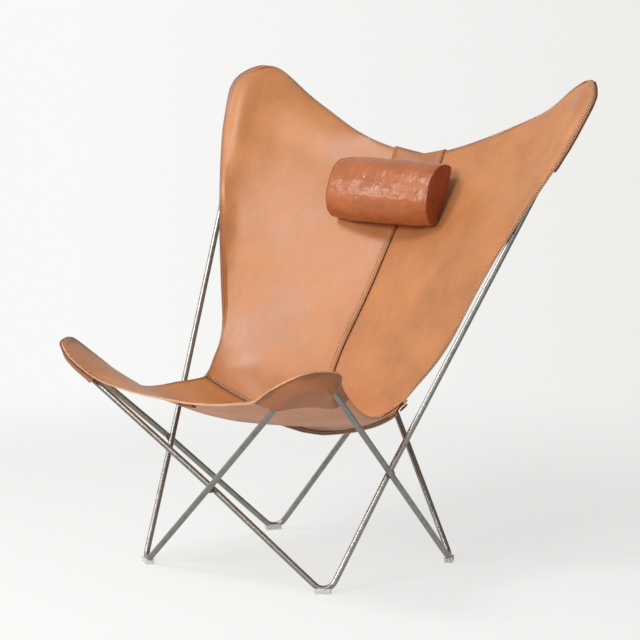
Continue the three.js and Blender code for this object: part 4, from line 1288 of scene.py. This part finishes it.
class CHAIR_OT_strap(bpy.types.Operator):
    """Makes the strap in two halves that meet over the top edge, and the counterweight"""

    bl_idname = "sling_chair.strap"
    bl_label = "Strap and counterweight"

    def execute(self, context):
        headrest, sling = context.scene.chair_headrest, context.scene.chair_sling
        smooth_side = bpy.data.materials.get("strap_smooth_side") or grain_material(
            "strap_smooth_side", headrest.strap, 0.45, speckled=False, rubbed=0.85)
        materials = [smooth_side, *sling_materials(sling)[1:]]
        self.lay_strap(headrest, materials)
        smooth(finish_piece(
            "counterweight_sleeve", cad_copy("counterweight_pouch"), [smooth_side],
            "counterweight", ["counterweight_pouch"]), 1)
        finish_piece(
            "counterweight_rod", cad_copy("counterweight_bar"), [bar_material(headrest.bar)],
            "counterweight", ["counterweight_bar"])
        return {"FINISHED"}

    def lay_strap(self, settings, materials):
        """Cuts the strap along its fold into its front and rear halves."""
        low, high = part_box("headrest_strap")
        # The fold over the top edge bows forwards from its middle, and the cut follows it
        fold_y, bow = high.y - 7.3 * MM, 0.165
        above_end = 20 * MM
        for half, body, end in (
            ("front", "headrest", Vector((0, low.y, low.z + above_end))),
            ("rear", "counterweight",
             Vector((0, fold_y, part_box("counterweight_pouch")[1].z + above_end))),
        ):
            shape = cad_copy("headrest_strap")
            mark_sides(shape, Vector(TOWARDS_SITTER))
            for vert in shape.verts:
                settled = step_between(vert.co.z, high.z - settings.fold_reach, high.z)
                vert.co.z -= settings.fold_drop * settled
                vert.co.y += bow * abs(vert.co.x)
            cut = bmesh.ops.bisect_plane(
                shape, geom=[*shape.verts, *shape.edges, *shape.faces], dist=MERGE_DISTANCE,
                plane_co=(0, fold_y, 0), plane_no=(0, 1, 0), clear_outer=half == "front",
                clear_inner=half == "rear",
            )
            rim = [part for part in cut["geom_cut"] if isinstance(part, bmesh.types.BMEdge)]
            bmesh.ops.holes_fill(shape, edges=rim, sides=0)
            for vert in shape.verts:
                vert.co.y -= bow * abs(vert.co.x)
            strap = finish_piece(
                f"headrest_strap_{half}", shape, materials, None,
                ["headrest_strap"])
            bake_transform(strap)


def floor_material(settings):
    """Seamless paper: matt white that keeps a faint shadow and fades into the backdrop."""
    made, tree, shader, where = new_material("seamless_paper")
    tree.nodes.remove(shader)
    colour = settings.floor
    tooth = add(tree, "ShaderNodeTexNoise", {"Vector": where, "Scale": 1 / (8 * MM), "Detail": 3.0})
    tone = add(tree, "ShaderNodeValToRGB", {"Fac": tooth}, stops=[
        (0.3, shaded(colour, 0.985)), (0.7, opaque(colour)),
    ])
    matt = add(tree, "ShaderNodeBsdfDiffuse", {"Color": tone})
    path = add(tree, "ShaderNodeLightPath")
    bright = add(tree, "ShaderNodeMath", {
        0: path.outputs["Is Glossy Ray"], 1: settings.floor_mirrored - 1, 2: 1.0,
    }, operation="MULTIPLY_ADD")
    glow = add(tree, "ShaderNodeEmission", {"Color": opaque(colour), "Strength": bright})
    seen = add(tree, "ShaderNodeMath", {
        0: path.outputs["Is Camera Ray"], 1: path.outputs["Is Glossy Ray"],
    }, operation="MAXIMUM")
    lift = add(tree, "ShaderNodeMath", {
        0: path.outputs["Is Camera Ray"], 1: 0.7, 2: path.outputs["Is Glossy Ray"],
    }, operation="MULTIPLY_ADD")
    paper = add(tree, "ShaderNodeMixShader", {0: lift, 1: matt, 2: glow})
    away = add(tree, "ShaderNodeVectorMath", {0: where}, operation="LENGTH")
    gone = add(tree, "ShaderNodeMapRange", {
        "Value": away.outputs["Value"], "From Min": settings.floor_reach,
        "From Max": settings.floor_reach + settings.floor_fade,
    }, interpolation_type="SMOOTHSTEP")
    clear = add(tree, "ShaderNodeMath", {0: seen, 1: gone}, operation="MULTIPLY")
    through = add(tree, "ShaderNodeBsdfTransparent")
    whole = add(tree, "ShaderNodeMixShader", {0: clear, 1: paper, 2: through})
    feed(tree.nodes["Material Output"], {"Surface": whole})
    return made


class CHAIR_OT_stage(bpy.types.Operator):
    """Sets the floor, the lights, the backdrop and the camera"""

    bl_idname = "sling_chair.stage"
    bl_label = "Stage"

    def execute(self, context):
        settings = context.scene.chair_stage
        self.lay_floor(settings)
        self.hang_lights(settings)
        self.light_backdrop(settings)
        self.place_camera(settings)
        context.scene.view_settings.view_transform = "Standard"
        return {"FINISHED"}

    def lay_floor(self, settings):
        shape = bmesh.new()
        bmesh.ops.create_grid(shape, x_segments=2, y_segments=2, size=30)
        mesh = kept_mesh("floor", shape)
        mesh.materials.append(floor_material(settings))
        in_scene("floor", mesh)

    def hang_lights(self, settings):
        aim = Vector((0, 0, 0.5))
        for name, place, size, power in (
            ("key_light", (0.2, -3.6, 2.1), 1.0, settings.key_power),
            ("fill_light", (3.6, -2.0, 1.7), 2.4, settings.fill_power),
            ("top_light", (-1.0, -1.5, 3.0), 0.9, settings.top_power),
            ("side_light", (-1.9, -2.0, 1.95), 0.45, settings.side_power),
        ):
            lamp = bpy.data.lights.new(name, "AREA")
            lamp.shape = "SQUARE"
            lamp.size = size
            lamp.energy = power
            holder = in_scene(name, lamp)
            holder.location = place
            holder.rotation_euler = (aim - Vector(place)).to_track_quat("-Z", "Y").to_euler()

    def light_backdrop(self, settings):
        world = bpy.data.worlds.new("studio")
        world.use_nodes = True
        tree = world.node_tree
        turn = settings.azimuth
        where = add(tree, "ShaderNodeTexCoord").outputs["Generated"]
        # Painted shade: the backdrop darkens towards the chair's far side, away from the lights
        across = add(tree, "ShaderNodeVectorMath", {
            0: where, 1: (math.cos(turn), math.sin(turn), 0),
        }, operation="DOT_PRODUCT")
        shaded_side = add(tree, "ShaderNodeMapRange", {
            "Value": across.outputs["Value"], "From Min": -0.08, "From Max": 0.12,
        })
        colour = add(tree, "ShaderNodeMix", {
            0: shaded_side, MIX_A: opaque(settings.backdrop),
            MIX_B: opaque(settings.backdrop_in_shade),
        }, data_type="RGBA")
        # Metal sees a bright room behind the chair and to its left, and a dim one elsewhere
        along = add(tree, "ShaderNodeVectorMath", {
            0: where,
            1: (-math.sin(turn) - 0.8 * math.cos(turn), math.cos(turn) - 0.8 * math.sin(turn), 0),
        }, operation="DOT_PRODUCT")
        share = add(tree, "ShaderNodeMapRange", {"Value": along.outputs["Value"], "From Min": -1.0})
        white, dim, bright = (1, 1, 1), 0.08, 0.8
        lit_side = add(tree, "ShaderNodeValToRGB", {"Fac": share}, stops=[
            (place, shaded(white, strength)) for place, strength in (
                (0.0, settings.room), (0.3, dim), (0.5, dim), (0.75, bright),
            )
        ])
        path = add(tree, "ShaderNodeLightPath")
        mirrored = add(tree, "ShaderNodeMath", {
            0: path.outputs["Is Glossy Ray"], 1: path.outputs["Is Transmission Ray"],
        }, operation="MAXIMUM")
        reflected = add(tree, "ShaderNodeMix", {0: mirrored, 2: settings.ambient, 3: lit_side})
        strength = add(tree, "ShaderNodeMix", {
            0: path.outputs["Is Camera Ray"], 2: reflected, 3: 1.0,
        })
        feed(tree.nodes["Background"], {
            "Color": colour.outputs[MIX_RESULT], "Strength": strength,
        })
        bpy.context.scene.world = world

    def place_camera(self, settings):
        # The view's middle lies this many parts of the picture's width off the lens's axis
        picture, off_right, off_up = 640, 3.3, -1.5
        camera = bpy.data.cameras.new("camera")
        camera.lens = settings.focal_length
        camera.sensor_width = 36
        camera.shift_x = off_right / picture
        camera.shift_y = off_up / picture
        camera.clip_end = 100
        holder = in_scene("camera", camera)
        level = math.cos(settings.elevation)
        towards = Vector((
            -math.sin(settings.azimuth) * level,
            math.cos(settings.azimuth) * level,
            -math.sin(settings.elevation),
        ))
        aim = Vector((45.7, -19.9, 503.8)) * MM
        holder.location = aim - towards * settings.distance
        holder.rotation_euler = towards.to_track_quat("-Z", "Y").to_euler()
        bpy.context.scene.camera = holder


class CHAIR_OT_sheets(bpy.types.Operator):
    """Does nothing"""

    bl_idname = "sling_chair.sheets"
    bl_label = "Sheets"

    def execute(self, context):
        return {"FINISHED"}


SETTINGS = {
    "chair_sling": SlingSettings, "chair_frame": FrameSettings, "chair_headrest": HeadrestSettings,
    "chair_stage": StageSettings,
}
STEPS = (
    CHAIR_OT_stage, CHAIR_OT_rods, CHAIR_OT_welds, CHAIR_OT_glides, CHAIR_OT_sling,
    CHAIR_OT_pockets, CHAIR_OT_stitching, CHAIR_OT_flange, CHAIR_OT_headrest, CHAIR_OT_strap,
    CHAIR_OT_sheets,
)


class CHAIR_PT_panel(bpy.types.Panel):
    """Lists the chair's steps and their settings"""

    bl_idname = "CHAIR_PT_panel"
    bl_label = "Butterfly sling chair"
    bl_space_type = "VIEW_3D"
    bl_region_type = "UI"
    bl_category = "Chair"

    def draw(self, context):
        for step in STEPS:
            self.layout.operator(step.bl_idname)
        for name, group in SETTINGS.items():
            box = self.layout.box()
            for value in group.__annotations__:
                box.prop(getattr(context.scene, name), value)


def register():
    for name, group in SETTINGS.items():
        bpy.utils.register_class(group)
        setattr(bpy.types.Scene, name, PointerProperty(type=group))
    for step in (*STEPS, CHAIR_PT_panel):
        bpy.utils.register_class(step)


def unregister():
    for step in (*STEPS, CHAIR_PT_panel):
        bpy.utils.unregister_class(step)
    for name, group in SETTINGS.items():
        delattr(bpy.types.Scene, name)
        bpy.utils.unregister_class(group)


def main():
    register()
    for step in STEPS:
        group, name = step.bl_idname.split(".")
        getattr(getattr(bpy.ops, group), name)()


if __name__ == "__main__":
    main()
